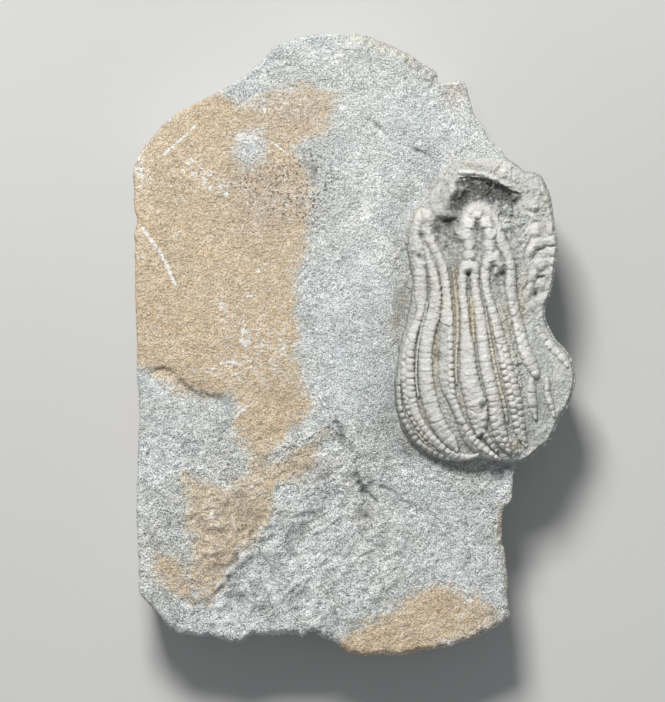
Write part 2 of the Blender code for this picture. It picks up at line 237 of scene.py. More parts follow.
# Across the nodule at each v: left foot, ridge and right edge (u), and their heights in mm.
NODULE = np.array([
    (158, 456, 490, 509, 20.6, 22.6, 21.6), (175, 446, 488, 539, 20.6, 23.2, 22.4),
    (190, 436, 486, 547, 20.7, 23.4, 22.8), (205, 424, 482, 551, 20.8, 23.6, 22.8),
    (220, 413, 479, 554, 21.0, 24.2, 22.8), (240, 408, 477, 557, 21.2, 24.8, 22.8),
    (260, 408, 477, 556, 21.4, 25.2, 22.6), (280, 411, 477, 553, 21.6, 25.6, 22.3),
    (300, 413, 478, 549, 21.8, 26.0, 21.8), (320, 409, 479, 546, 21.8, 26.4, 21.4),
    (340, 402, 480, 557, 21.6, 26.8, 21.0), (360, 398, 481, 572, 21.5, 27.0, 20.9),
    (380, 395, 481, 576, 21.5, 27.0, 20.8), (400, 395, 482, 571, 21.4, 26.7, 20.8),
    (420, 398, 484, 560, 21.3, 25.9, 20.9), (440, 408, 487, 550, 21.2, 24.7, 21.2),
    (455, 424, 490, 534, 21.2, 23.4, 21.6), (464, 446, 492, 518, 21.3, 22.4, 21.6),
])

# The left and lower edge of the nodule, where it stands off the plate.
FOOT = [(505, 158), (490, 157), (470, 157.5), (457, 161), (451, 165), (444, 175), (433, 187), (426, 199),
        (416, 210), (412, 219), (408, 232), (407, 246), (409, 262), (411.5, 278), (412.5, 290), (410, 305),
        (406.5, 320), (403, 333), (399.5, 346), (397, 360), (395.5, 375), (394.5, 390), (395.5, 403),
        (398, 417), (402, 430), (409, 441.5), (419, 451.5), (431, 458.5), (445, 462.5), (460, 463.3),
        (475, 459.8), (488, 461), (502, 463.5), (517, 464.5), (640, 464.5), (640, 158)]

LINES = {
    "layer": [(456, 150), (452, 158), (450, 165), (443, 175), (432, 187), (425, 199), (415, 210), (410.5, 221),
              (407.5, 233), (406.5, 243)],
    "layer_low": [(406.5, 243), (400, 251), (394, 260), (390.5, 275)],
    "step_left": [(141, 366), (150, 368.5), (165, 368), (175, 373), (180, 380), (190, 388), (200, 393), (212, 396),
                  (226, 396)],
    "diagonal": [(270, 457), (284, 448), (300, 440), (314, 432), (331, 423)],
    "d2": [(287, 83), (292, 86), (297, 87)],
    "d3": [(318, 79), (325, 80.5), (332, 80)],
    "d4": [(369, 117), (377, 124), (385, 133)],
    "d5": [(411, 147), (421, 150.5), (431, 156)],
    "d6": [(400, 463), (411, 469), (419, 473), (430, 479), (446, 481)],
    "d7": [(362, 486), (370, 484), (380, 485), (392, 491), (400, 497), (407, 502.5), (417, 508.5), (431, 511)],
    "d8": [(334, 422), (341, 438), (352, 449), (355, 462), (357, 476), (362, 487), (368, 497)],
    "d9": [(407, 549), (395, 556), (384, 566), (372, 580)],
    "d10": [(431, 549), (446, 538), (455, 531)],
    "d11": [(367, 545), (360, 557), (352, 569), (345, 583)],
    "d12": [(360, 483), (364, 488), (366.6, 491), (371, 497), (376, 500)],
    "d13": [(334, 420), (340, 424), (345, 431), (343, 440)],
    "under": [(443, 470.5), (460, 471.5), (480, 470), (500, 471), (514, 474)],
}

RIDGE_WAY = math.radians(-32)  # the plumose ridges run up to the right


def shelf(u, v, line, drop, reach, width=1.6):
    """A small scarp along line: the right-hand side of travel drops, then rises back over reach."""
    u, v = (u + 2.4 * noise(u / 6, v / 6, 38) + 1.0 * noise(u / 2.6, v / 2.6, 39),
            v + 2.4 * noise(u / 6, v / 6, 40) + 1.0 * noise(u / 2.6, v / 2.6, 45))
    d, side, share = to_line(u, v, LINES[line])
    ends = ease(share / 0.12) * ease((1 - share) / 0.12)
    below = np.where(side > 0, d, -d)
    return -drop * ends * ease((below + width / 2) / width) * np.exp(-np.maximum(below, 0) / reach)


def ridge_field(u, v):
    """The plumose ridges of the lower plate: a crest value about -1 to 1, and where they show."""
    wu = u + 6 * noise(u / 30, v / 30, 23) + 3.0 * noise(u / 8, v / 8, 25) + 1.0 * noise(u / 3.4, v / 3.4, 27)
    wv = v + 6 * noise(u / 30, v / 30, 24) + 3.0 * noise(u / 8, v / 8, 26) + 1.0 * noise(u / 3.4, v / 3.4, 28)
    du, dv = wu - 480.0, wv - 420.0
    way = np.arctan2(dv, du) * 180 / math.pi
    far = np.hypot(du, dv)
    a = np.maximum(1 - 3.8 * np.abs(noise(way / 4.4, far / 46, 21)), -1.0)
    b = np.maximum(1 - 3.6 * np.abs(noise(way / 2.2 + 9.0, far / 22, 22)), -1.0)
    c = np.maximum(1 - 3.4 * np.abs(noise(way / 1.2 + 19.0, far / 12, 29)), -1.0)
    crest = (0.46 * a + 0.36 * b + 0.18 * c) * (0.75 + 0.6 * noise(u / 12, v / 12, 30))
    low_left = (1 - 0.5 * ease((u - 300) / 40)) * ease((v - 455 - 0.25 * (250 - u)) / 60) * ease((430 - u) / 60) * ease((u - 165) / 50) * ease((640 - v) / 30)
    mid_low = 0.32 * ease((v - 500) / 40) * ease((u - 350) / 30) * ease((600 - v) / 20)
    return crest, np.clip(low_left + mid_low, 0, 1)


def smooth_top(u, v):
    """The stone's top without its fine relief, in mm: what the fossil pieces are bedded on."""
    z = THICK + 0.5 * bump(u, v, 190, 250, 110, 170)
    z = z - 1.0 * bump(u, v, 150, 625, 80, 40) - 0.7 * bump(u, v, 160, 440, 60, 60)
    z = z + 0.7 * bump(u, v, 335, 445, 45, 22, -25) - 0.8 * bump(u, v, 270, 560, 110, 22, -38)
    z = z - 1.1 * bump(u, v, 400, 520, 130, 40, 12) - 1.2 * bump(u, v, 455, 95, 30, 25)
    z = z - 0.7 * bump(u, v, 402, 285, 10, 85, 3)
    z = z - 1.4 * bump(u, v, 392, 400, 20, 70, 8) - 1.0 * bump(u, v, 418, 190, 16, 60, 38)
    foot, ridge, edge, zf, zr, ze = (np.interp(v, NODULE[:, 0], NODULE[:, k]) for k in range(1, 7))
    x = np.clip((u - foot) / (ridge - foot), 0, 1)
    left = ease(x) * 0.45 + 0.55 * x**0.6
    right = ease((edge - u) / (edge - ridge))
    top = np.where(u < ridge, zf + (zr - zf) * left, ze + (zr - ze) * right)
    return z, top


def nodule_share(u, v):
    d = signed(u, v, FOOT)
    return ease((d + 0.8) / 3.6), d


def cup_hollow(u, v):
    return (4.6 * bump(u, v, 492, 192, 25, 9.5, 12) + 2.6 * bump(u, v, 459, 203, 10, 12, 20)
            + 2.2 * bump(u, v, 446, 228, 10, 6.5, 8) + 0.9 * bump(u, v, 453, 212, 9, 12))


def ground(u, v):
    """Where the fossil pieces sit."""
    z, top = smooth_top(u, v)
    return np.maximum(z, top) - cup_hollow(u, v)


def edge_fill(u, v, d_in):
    """The matrix that lies on the nodule out to its right edge, in mm."""
    return 0.8 * ease((d_in - 1.5) / 5) * ease((u - 492) / 18)


def relief(u, v):
    """The stone's top surface in mm, with all its relief."""
    z, top = smooth_top(u, v)
    share, d_in = nodule_share(u, v)
    # Plate: weathered undulation, plumose ridges, scarps and grooves.
    wu, wv = u + 5 * noise(u / 38, v / 38, 3), v + 5 * noise(u / 38, v / 38, 4)
    z = z + 0.16 * fbm(wu / 46, wv / 46, 3, 11) + 0.10 * fbm(wu / 13, wv / 13, 3, 12)
    crest, here = ridge_field(u, v)
    z = z + crest * here * 0.66 + 0.05 * crest
    bend = 3.6 * noise(u / 9, v / 9, 46) + 2.0 * noise(u / 4, v / 4, 49)
    z = z + 0.42 * ease(0.6 + 1.2 * noise(u / 7, v / 7, 50)) * np.exp(-(to_line(u, v + bend, LINES["diagonal"])[0] / 2.4) ** 2)
    z = z + 0.30 * ease(0.5 + 1.4 * noise(u / 7, v / 7, 51)) * np.exp(-(to_line(u - 4, v - 9 + bend, LINES["diagonal"])[0] / 2.2) ** 2)
    z = z + 0.35 * bump(u, v, 300, 438, 34, 9, -28)
    z = z - 0.35 * bump(u, v, 322, 448, 26, 6, -28)
    scarp = shelf(u, v, "step_left", 0.6, 22, 4.6)
    z = z + scarp * (1 + 0.5 * noise(u / 7, v / 7, 36))
    z = z + shelf(u, v, "d7", 0.42, 9, 3.6) + shelf(u, v, "d6", 0.34, 7, 2.6) + shelf(u, v, "d5", 0.35, 5)
    z = z + shelf(u, v, "d4", 0.42, 4) + shelf(u, v, "d2", 0.4, 3) + shelf(u, v, "d3", 0.3, 3)
    for name, deep, wide in (("d8", 0.55, 3.0), ("d12", 0.5, 2.0), ("d9", 0.25, 2.2), ("d10", 0.22, 2.2), ("d11", 0.3, 2.6),
                             ("under", 0.3, 1.5)):
        d = to_line(u, v, LINES[name])[0]
        z = z - deep * np.exp(-(d / wide) ** 2) * (0.6 + 0.6 * noise(u / 6, v / 6, 8))
    lay = to_line(u, v, LINES["layer"])[0]
    z = z + 0.5 * np.exp(-(lay / 1.5) ** 2) + 0.25 * np.exp(-(to_line(u, v, LINES["layer_low"])[0] / 1.6) ** 2)
    near, far, tag = cells(u / 6.5 + 0.4 * noise(u / 9, v / 9, 33), v / 6.5 + 0.4 * noise(u / 9, v / 9, 34), 35)
    grain = 0.10 * noise(u / 6.4, v / 6.4, 31) + 0.085 * noise(u / 3.6, v / 3.6, 32) + 0.10 * (0.5 - near)
    calm = ease((signed(u, v, BROWN_MAIN) + 4) / 12)
    rough = (1.0 + 0.7 * ease((v - 380) / 60)) * (1 - 0.35 * calm)
    z = z + grain * rough
    # Nodule: lumpy matrix between the arms.
    near, far, tag = cells(u / 5.5, v / 5.5, 41)
    top = top + 0.20 * fbm(u / 16, v / 16, 3, 42) + 0.16 * (0.5 - near) + 0.05 * noise(u / 2.4, v / 2.4, 43)
    lobe = ease((u - 538) / 14) * ease((v - 318) / 14)
    top = top + 0.10 * noise(u / 8, v / 8, 44) * lobe + edge_fill(u, v, d_in)
    hollow = cup_hollow(u, v)
    near, far, tag = cells(u / 7.5, v / 7.5, 47)
    lumps = ease(hollow / 1.2)
    top = top - hollow + lumps * (0.8 * (0.45 - near) + 0.3 * noise(u / 3.4, v / 3.4, 48))
    return z + (top - z) * share


def bevel(u, v, d):
    """How far the top falls away near the outline, d units in from it."""
    ne = ease((u - 335) / 16) * ease((441 - u) / 8) * ease((100 - v) / 14)
    right = ease((v - 503) / 10) * ease((u - 470) / 15) * ease((622 - v) / 8)
    base = ease((v - 612) / 16)
    nod = ease((u - 505) / 12) * ease((v - 160) / 10) * ease((468 - v) / 8)
    chip = 1 + 0.6 * noise(u / 6, v / 6, 37)
    wide = (2.0 + 9 * ne + 4.0 * right + 3.5 * base + 1.2 * nod) * chip
    deep = (0.45 + 1.9 * ne + 0.8 * right + 1.0 * base + 0.5 * nod) * chip
    x = np.clip(1 - d / wide, 0, 1)
    return deep * x**1.7


# ------------------------------------------------------------------ mesh helpers


def new_mesh(name, verts, faces, attributes=None, smooth=True):
    me = bpy.data.meshes.new(name)
    verts = np.asarray(verts, np.float32)
    loops = np.concatenate([np.asarray(f, np.int32).ravel() for f in faces])
    counts = np.concatenate([np.full(len(f), np.asarray(f).shape[1], np.int32) for f in faces])
    me.vertices.add(len(verts))
    me.vertices.foreach_set("co", verts.ravel())
    me.loops.add(len(loops))
    me.loops.foreach_set("vertex_index", loops)
    me.polygons.add(len(counts))
    me.polygons.foreach_set("loop_start", np.concatenate([[0], np.cumsum(counts)[:-1]]).astype(np.int32))
    me.update(calc_edges=True)
    me.validate()
    if smooth:
        me.polygons.foreach_set("use_smooth", np.ones(len(me.polygons), bool))
    for key, values in (attributes or {}).items():
        values = np.asarray(values, np.float32)
        layer = me.attributes.new(key, "FLOAT", "POINT")
        layer.data.foreach_set("value", values)
    return me


def outward(me):
    """Turns every face of a closed mesh outward."""
    bm = bmesh.new()
    bm.from_mesh(me)
    bmesh.ops.recalc_face_normals(bm, faces=bm.faces[:])
    bm.to_mesh(me)
    bm.free()


def add_piece(name, me, mat, replaces=()):
    me.materials.append(mat)
    ob = bpy.data.objects.new(name, me)
    bpy.context.scene.collection.objects.link(ob)
    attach(ob, "root")
    if replaces:
        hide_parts(*replaces)
    return ob


# ------------------------------------------------------------------ node helpers


class Nodes:
    """A short way to write a shader as sums."""

    def __init__(self, name):
        self.mat = bpy.data.materials.new(name)
        self.mat.use_nodes = True
        self.tree = self.mat.node_tree
        self.shader = self.tree.nodes["Principled BSDF"]
        self.place = self.add("ShaderNodeTexCoord").outputs["Object"]

    def add(self, kind, **props):
        node = self.tree.nodes.new(kind)
        for key, value in props.items():
            setattr(node, key, value)
        return node

    def feed(self, socket, value):
        if isinstance(value, bpy.types.NodeSocket):
            self.tree.links.new(value, socket)
        elif value is not None:
            socket.default_value = value

    def attr(self, name):
        return self.add("ShaderNodeAttribute", attribute_name=name).outputs["Fac"]

    def noise(self, scale, detail=2.0, rough=0.5, where=None, distort=0.0):
        n = self.add("ShaderNodeTexNoise")
        self.feed(n.inputs["Vector"], where or self.place)
        n.inputs["Scale"].default_value = scale
        n.inputs["Detail"].default_value = detail
        n.inputs["Roughness"].default_value = rough
        n.inputs["Distortion"].default_value = distort
        return n.outputs["Fac"]

    def voronoi(self, scale, feature="F1", where=None, out="Distance", rand=1.0):
        n = self.add("ShaderNodeTexVoronoi", feature=feature)
        self.feed(n.inputs["Vector"], where or self.place)
        n.inputs["Scale"].default_value = scale
        n.inputs["Randomness"].default_value = rand
        return n.outputs[out]

    def math(self, op, a, b=None, c=None, clamp=False):
        n = self.add("ShaderNodeMath", operation=op, use_clamp=clamp)
        self.feed(n.inputs[0], a)
        self.feed(n.inputs[1], b)
        if c is not None:
            self.feed(n.inputs[2], c)
        return n.outputs[0]

    def ramp(self, value, lo, hi, out_lo=0.0, out_hi=1.0, soft=True):
        n = self.add("ShaderNodeMapRange", interpolation_type="SMOOTHSTEP" if soft else "LINEAR")
        n.clamp = True
        self.feed(n.inputs["Value"], value)
        for key, x in (("From Min", lo), ("From Max", hi), ("To Min", out_lo), ("To Max", out_hi)):
            n.inputs[key].default_value = x
        return n.outputs["Result"]

    def mix(self, fac, a, b, mode="MIX"):
        n = self.add("ShaderNodeMix", data_type="RGBA", blend_type=mode)
        self.feed(n.inputs[0], fac)
        for i, x in ((6, a), (7, b)):
            if isinstance(x, tuple) and len(x) == 3:
                x = (*x, 1.0)
            self.feed(n.inputs[i], x)
        return n.outputs[2]

    def scale(self, colour, factor):
        """A colour times a number."""
        n = self.add("ShaderNodeVectorMath", operation="SCALE")
        if isinstance(colour, tuple):
            colour = colour[:3]
        self.feed(n.inputs[0], colour)
        self.feed(n.inputs["Scale"], factor)
        return n.outputs["Vector"]

    def stretch(self, turn_deg, sx, sy):
        m = self.add("ShaderNodeMapping")
        self.feed(m.inputs["Vector"], self.place)
        m.inputs["Rotation"].default_value = (0, 0, math.radians(turn_deg))
        m.inputs["Scale"].default_value = (sx, sy, 1.0)
        return m.outputs["Vector"]

    def bump(self, height, strength, distance, normal=None):
        n = self.add("ShaderNodeBump")
        n.inputs["Strength"].default_value = strength
        n.inputs["Distance"].default_value = distance
        self.feed(n.inputs["Height"], height)
        if normal is not None:
            self.feed(n.inputs["Normal"], normal)
        return n.outputs["Normal"]

    def finish(self, colour, rough, normal=None, specular=0.25):
        self.feed(self.shader.inputs["Base Color"], colour)
        self.feed(self.shader.inputs["Roughness"], rough)
        self.shader.inputs["Specular IOR Level"].default_value = specular
        if normal is not None:
            self.feed(self.shader.inputs["Normal"], normal)
        return self.mat


GREY = (0.560, 0.592, 0.582)
BROWN = (0.610, 0.485, 0.330)
OCHRE = (0.560, 0.470, 0.300)
CREAM = (0.640, 0.610, 0.520)
PINK = (0.560, 0.500, 0.440)
WHITE = (0.900, 0.900, 0.875)
# DARK is mixed in for dark marks and for painted shade.
DARK = (0.105, 0.108, 0.105)
CALCITE = (0.672, 0.664, 0.622)


def grain_of(n, where=None):
    """The rock's grain: light and dark grains at three sizes, as one factor about 1."""
    fine = n.noise(3500, 1.0, 0.6)
    mid = n.noise(1180, 2.0, 0.62)
    coarse = n.noise(430, 3.0, 0.6)
    a = n.ramp(fine, 0.34, 0.66, 0.65, 1.35, soft=False)
    b = n.ramp(mid, 0.32, 0.68, 0.905, 1.095, soft=False)
    c = n.ramp(coarse, 0.32, 0.68, 0.88, 1.12, soft=False)
    return n.math("MULTIPLY", n.math("MULTIPLY", a, b), c), fine, mid, coarse


def siltstone():
    n = Nodes("siltstone_weathered")
    grain, fine, mid, coarse = grain_of(n)
    blotch = n.noise(250, 3.0, 0.58)
    broad = n.noise(70, 3.0, 0.55)
    # Brown iron stain, its edge broken up grain by grain.
    edge = n.math("MULTIPLY_ADD", n.math("SUBTRACT", blotch, 0.5), 34.0, n.attr("brown"))
    edge = n.math("MULTIPLY_ADD", n.math("SUBTRACT", mid, 0.5), 16.0, edge)
    edge = n.math("MULTIPLY_ADD", n.math("SUBTRACT", fine, 0.5), 8.0, edge)
    stain = n.ramp(edge, -9.0, 9.0)
    stain = n.math("MULTIPLY", stain, n.ramp(n.attr("brown"), -16.0, -2.0))
    grey = n.mix(n.ramp(broad, 0.36, 0.64), (0.645, 0.692, 0.702), (0.635, 0.668, 0.640))
    grey = n.mix(n.ramp(coarse, 0.42, 0.68, 0.0, 0.45), grey, (0.545, 0.560, 0.560))
    brown = n.mix(n.ramp(blotch, 0.35, 0.68), (0.712, 0.562, 0.385), (0.660, 0.526, 0.364))
    brown = n.mix(n.ramp(broad, 0.44, 0.66, 0.0, 0.5), brown, (0.665, 0.570, 0.425))
    brown = n.mix(n.math("MULTIPLY", n.attr("pinkish"), 0.7), brown, (0.585, 0.495, 0.400))
    brown = n.mix(n.ramp(coarse, 0.52, 0.70, 0.0, 0.22), brown, grey)
    colour = n.mix(stain, grey, brown)
    colour = n.mix(n.attr("ochre"), colour, n.mix(n.ramp(mid, 0.4, 0.6), OCHRE, CREAM))
    colour = n.mix(n.attr("warm"), colour, PINK)
    strong = n.math("MULTIPLY_ADD", n.attr("coarse"), 0.75, 0.95)
    colour = n.scale(colour, n.math("MULTIPLY_ADD", n.math("SUBTRACT", grain, 1.0), strong, 1.0))
    pits = n.ramp(n.noise(2300, 1.0, 0.5), 0.60, 0.72)
    colour = n.mix(n.math("MULTIPLY", n.math("MULTIPLY", pits, 0.46), strong), colour, (0.20, 0.185, 0.165))
    specks = n.ramp(n.noise(1900, 1.5, 0.55), 0.60, 0.72)
    colour = n.mix(n.math("MULTIPLY", n.math("MULTIPLY", specks, 0.58), strong), colour, WHITE)
    # Manganese speckle where the attribute allows it.
    dots = n.ramp(n.math("ADD", n.voronoi(1450.0), n.math("MULTIPLY", n.math("SUBTRACT", n.noise(2600, 1.0, 0.5), 0.5), 0.9)),
                  0.24, 0.46, 1.0, 0.0)
    dots = n.math("MULTIPLY", dots, n.ramp(n.noise(620, 2.0, 0.6), 0.36, 0.48))
    spots = n.math("MULTIPLY", dots, n.attr("speck"))
    colour = n.mix(n.math("MULTIPLY", spots, 0.85), colour, (0.155, 0.130, 0.118))
    # Pale marks: pale mottling and a pale band by the layer edge, and painted highlight on the ridge crests.
    pale = n.math("MULTIPLY", n.attr("pale"), n.ramp(fine, 0.34, 0.52, 0.66, 1.05))
    colour = n.mix(pale, colour, WHITE)
    # Scratches with crisp edges, and small chips and strokes where flakes lie.
    mark = n.math("MULTIPLY_ADD", n.math("SUBTRACT", fine, 0.5), 0.8, n.attr("mark"))
    mark = n.ramp(mark, 0.30, 0.52, 0.0, 0.94)
    flat = n.noise(1, 1.6, 0.55, where=n.stretch(12, 820, 2050), distort=0.5)
    steep = n.noise(1, 1.6, 0.55, where=n.stretch(-48, 900, 2150), distort=0.5)
    chips = n.math("MAXIMUM", n.ramp(flat, 0.580, 0.640), n.ramp(steep, 0.590, 0.650))
    chips = n.math("MULTIPLY", chips, n.attr("flake"))
    colour = n.mix(n.math("MAXIMUM", mark, chips), colour, (0.93, 0.93, 0.905))
    # Dark marks and cracks, and painted shade under the scarps, in the ridge troughs, beside the crown and under its
    # bottom edge.
    colour = n.mix(n.attr("dark"), colour, DARK)
    colour = n.scale(colour, n.attr("tone"))
    rough = n.ramp(mid, 0.3, 0.7, 0.82, 0.97)
    first = n.bump(n.noise(900, 3.0, 0.6), 1.0, 0.00032)
    second = n.bump(n.voronoi(1700.0), 1.0, -0.00014, first)
    third = n.bump(n.noise(3600, 1.0, 0.6), 1.0, 0.00020, second)
    return n.finish(colour, rough, third, 0.2)


def calcite():
    """The crown: cream calcite where calc is 1, the stone's own matrix where it is 0."""
    n = Nodes("fossil_calcite_weathered")
    grain_all, fine, mid, coarse = grain_of(n)
    broad = n.noise(210, 3.0, 0.5)
    stone = n.mix(n.ramp(broad, 0.35, 0.65), (0.520, 0.566, 0.552), (0.555, 0.580, 0.538))
    cream = n.mix(n.ramp(broad, 0.35, 0.65), CALCITE, (0.690, 0.696, 0.676))
    colour = n.mix(n.ramp(n.math("MULTIPLY_ADD", n.math("SUBTRACT", mid, 0.5), 0.5, n.attr("calc")), 0.05, 0.95,
                          soft=False), stone, cream)
    colour = n.mix(n.attr("ochre"), colour, n.mix(n.ramp(mid, 0.35, 0.65), (0.47, 0.405, 0.285), (0.61, 0.55, 0.43)))
    # Calcite is smoother than the matrix.
    share = n.ramp(n.attr("calc"), 0.2, 0.9, 1.0, 0.34, soft=False)
    grain = n.math("MULTIPLY_ADD", n.math("SUBTRACT", grain_all, 1.0), share, 1.0)
    colour = n.scale(colour, grain)
    pits = n.ramp(n.noise(2300, 1.0, 0.5), 0.61, 0.74)
    colour = n.mix(n.math("MULTIPLY", n.math("MULTIPLY", pits, 0.5), share), colour, (0.21, 0.20, 0.175))
    specks = n.ramp(n.noise(1900, 1.5, 0.55), 0.61, 0.73)
    colour = n.mix(n.math("MULTIPLY", n.math("MULTIPLY", specks, 0.55), share), colour, WHITE)
    # Grooves darkened: partly soil lodged in them, partly painted shade.
    groove_soil_and_shade = n.math("MULTIPLY", n.attr("groove"), n.ramp(mid, 0.25, 0.6, 0.7, 1.0))
    colour = n.mix(n.math("MULTIPLY", groove_soil_and_shade, 0.70), colour, n.mix(n.attr("ochre"), (0.215, 0.205, 0.180),
                                                                  (0.250, 0.195, 0.115)))
    # Convex tops paler: partly worn calcite, partly painted highlight.
    colour = n.mix(n.math("MULTIPLY", n.attr("high"), 0.35), colour, (0.80, 0.79, 0.76))
    # Painted shade, with some dirt, where the dark attribute says.
    colour = n.mix(n.attr("dark"), colour, DARK)
    colour = n.scale(colour, n.attr("tone"))
    rough = n.ramp(mid, 0.3, 0.7, 0.66, 0.9)
    first = n.bump(n.noise(1000, 3.0, 0.6), 0.9, 0.00026)
    second = n.bump(n.noise(2700, 2.0, 0.6), 0.8, 0.00011, first)
    return n.finish(colour, rough, second, 0.28)


# ------------------------------------------------------------------ stains and marks on the stone

BROWN_MAIN = [(120, 160), (134, 160), (150, 135), (170, 112), (190, 98), (205, 92), (225, 96), (240, 106),
              (262, 100), (278, 92), (290, 88), (310, 87), (325, 90), (333, 98), (335, 110), (330, 122),
              (322, 130), (305, 138), (295, 147), (305, 160), (311, 175), (312, 200), (308, 223), (302, 252),
              (294, 277), (298, 310), (298, 347), (300, 365), (306, 389), (314, 407), (301, 416), (297, 427),
              (287, 438), (272, 455), (262, 468), (300, 452), (318, 437), (328, 431), (316, 446), (313, 466),
              (306, 475), (294, 478), (278, 482), (273, 494), (271, 514), (267, 525), (257, 537), (244, 549),
              (232, 563), (224, 576), (217, 590), (205, 604), (196, 602), (192, 585), (192, 565), (194, 546),
              (189, 528), (187, 500), (186, 478), (224, 487), (239, 482), (250, 473), (250, 456), (236, 438),
              (234, 419), (239, 402), (232, 393), (207, 396), (199, 396), (184, 393), (166, 383), (154, 376),
              (152, 370), (137, 367), (120, 367)]
BROWN_LITTLE = [(155, 556), (163, 548), (175, 553), (182, 566), (186, 582), (196, 596), (198, 604), (186, 600),
                (173, 593), (158, 583), (153, 570)]
BROWN_RIGHT = [(337, 646), (348, 634), (359, 625), (376, 619), (395, 606), (408, 599), (414, 590), (432, 587),
               (455, 587), (464, 594), (480, 594), (488, 602), (492, 613), (491, 626), (476, 635), (455, 643),
               (430, 655), (400, 662), (360, 664), (340, 656)]
GREY_ISLE = [(234, 134), (246, 130), (257, 131), (262, 142), (262, 158), (254, 168), (243, 168), (237, 158),
             (236, 146)]

SCRATCHES = [  # path, half width, strength
    ([(141, 226), (148, 236), (155, 245), (162, 256), (168, 267), (173, 280), (178, 289)], 1.8, 1.3),
    ([(197, 124), (188, 133), (178, 142), (168, 151), (160, 158)], 1.3, 1.0),
    ([(270, 141), (280, 148), (289, 155)], 1.1, 0.8),
    ([(235, 137), (243, 139), (257, 133)], 1.1, 0.6),
    ([(250, 141), (257, 146)], 1.0, 0.5),
    ([(234, 419), (241, 411), (249, 404)], 1.4, 0.95), ([(226, 422), (236, 412), (243, 408)], 0.9, 0.5),
    ([(301, 365), (307, 386), (316, 407)], 1.1, 0.62), ([(303, 372), (311, 372), (316, 380)], 1.0, 0.5),
    ([(309, 374), (316, 388), (321, 398), (327, 408)], 1.1, 0.6),
    ([(148, 165), (150, 176), (151, 188)], 1.1, 0.55), ([(141, 160), (142, 176), (143, 190)], 1.0, 0.5),
    ([(244, 297), (257, 295)], 1.0, 0.7),
    ([(239, 326), (248, 316)], 0.8, 0.5),
    ([(255, 310), (265, 304)], 0.7, 0.4),
    ([(219, 363), (229, 362), (240, 363)], 1.3, 0.75),
    ([(202, 368), (214, 369)], 1.0, 0.5),
    ([(245, 361), (256, 360)], 1.1, 0.6), ([(252, 374), (262, 375)], 1.0, 0.55), ([(270, 362), (277, 369)], 1.0, 0.5),
    ([(340, 72), (349, 80)], 1.0, 0.5),
    ([(373, 62), (377, 67), (382, 74)], 1.1, 0.6),
    ([(349, 190), (362, 184)], 0.9, 0.45),
    ([(407, 240), (396, 252), (386, 265), (379, 279), (374, 298)], 1.1, 0.5), ([(246, 322), (243, 332), (242, 342), (247, 350)], 1.0, 0.55), ([(262, 338), (268, 346), (276, 350)], 1.0, 0.5),
    ([(368, 149), (376, 152), (386, 153), (398, 158)], 1.0, 0.5), ([(372, 156), (382, 160), (392, 160)], 1.0, 0.45),
    ([(364, 148), (358, 143)], 0.7, 0.4), ([(400, 160), (412, 158)], 0.7, 0.35), ([(418, 156), (430, 160)], 0.8, 0.5),
    ([(378, 130), (386, 137)], 0.9, 0.5), ([(270, 458), (284, 449), (300, 441), (314, 433), (330, 424)], 1.5, 0.6),
    ([(466, 488), (468, 510), (470, 535), (472, 562)], 0.7, 0.4),
    ([(322, 525), (303, 537), (283, 549)], 1.8, 0.5),
    ([(375, 545), (366, 556), (355, 568)], 1.2, 0.5),
    ([(400, 560), (386, 572)], 1.0, 0.4),
]
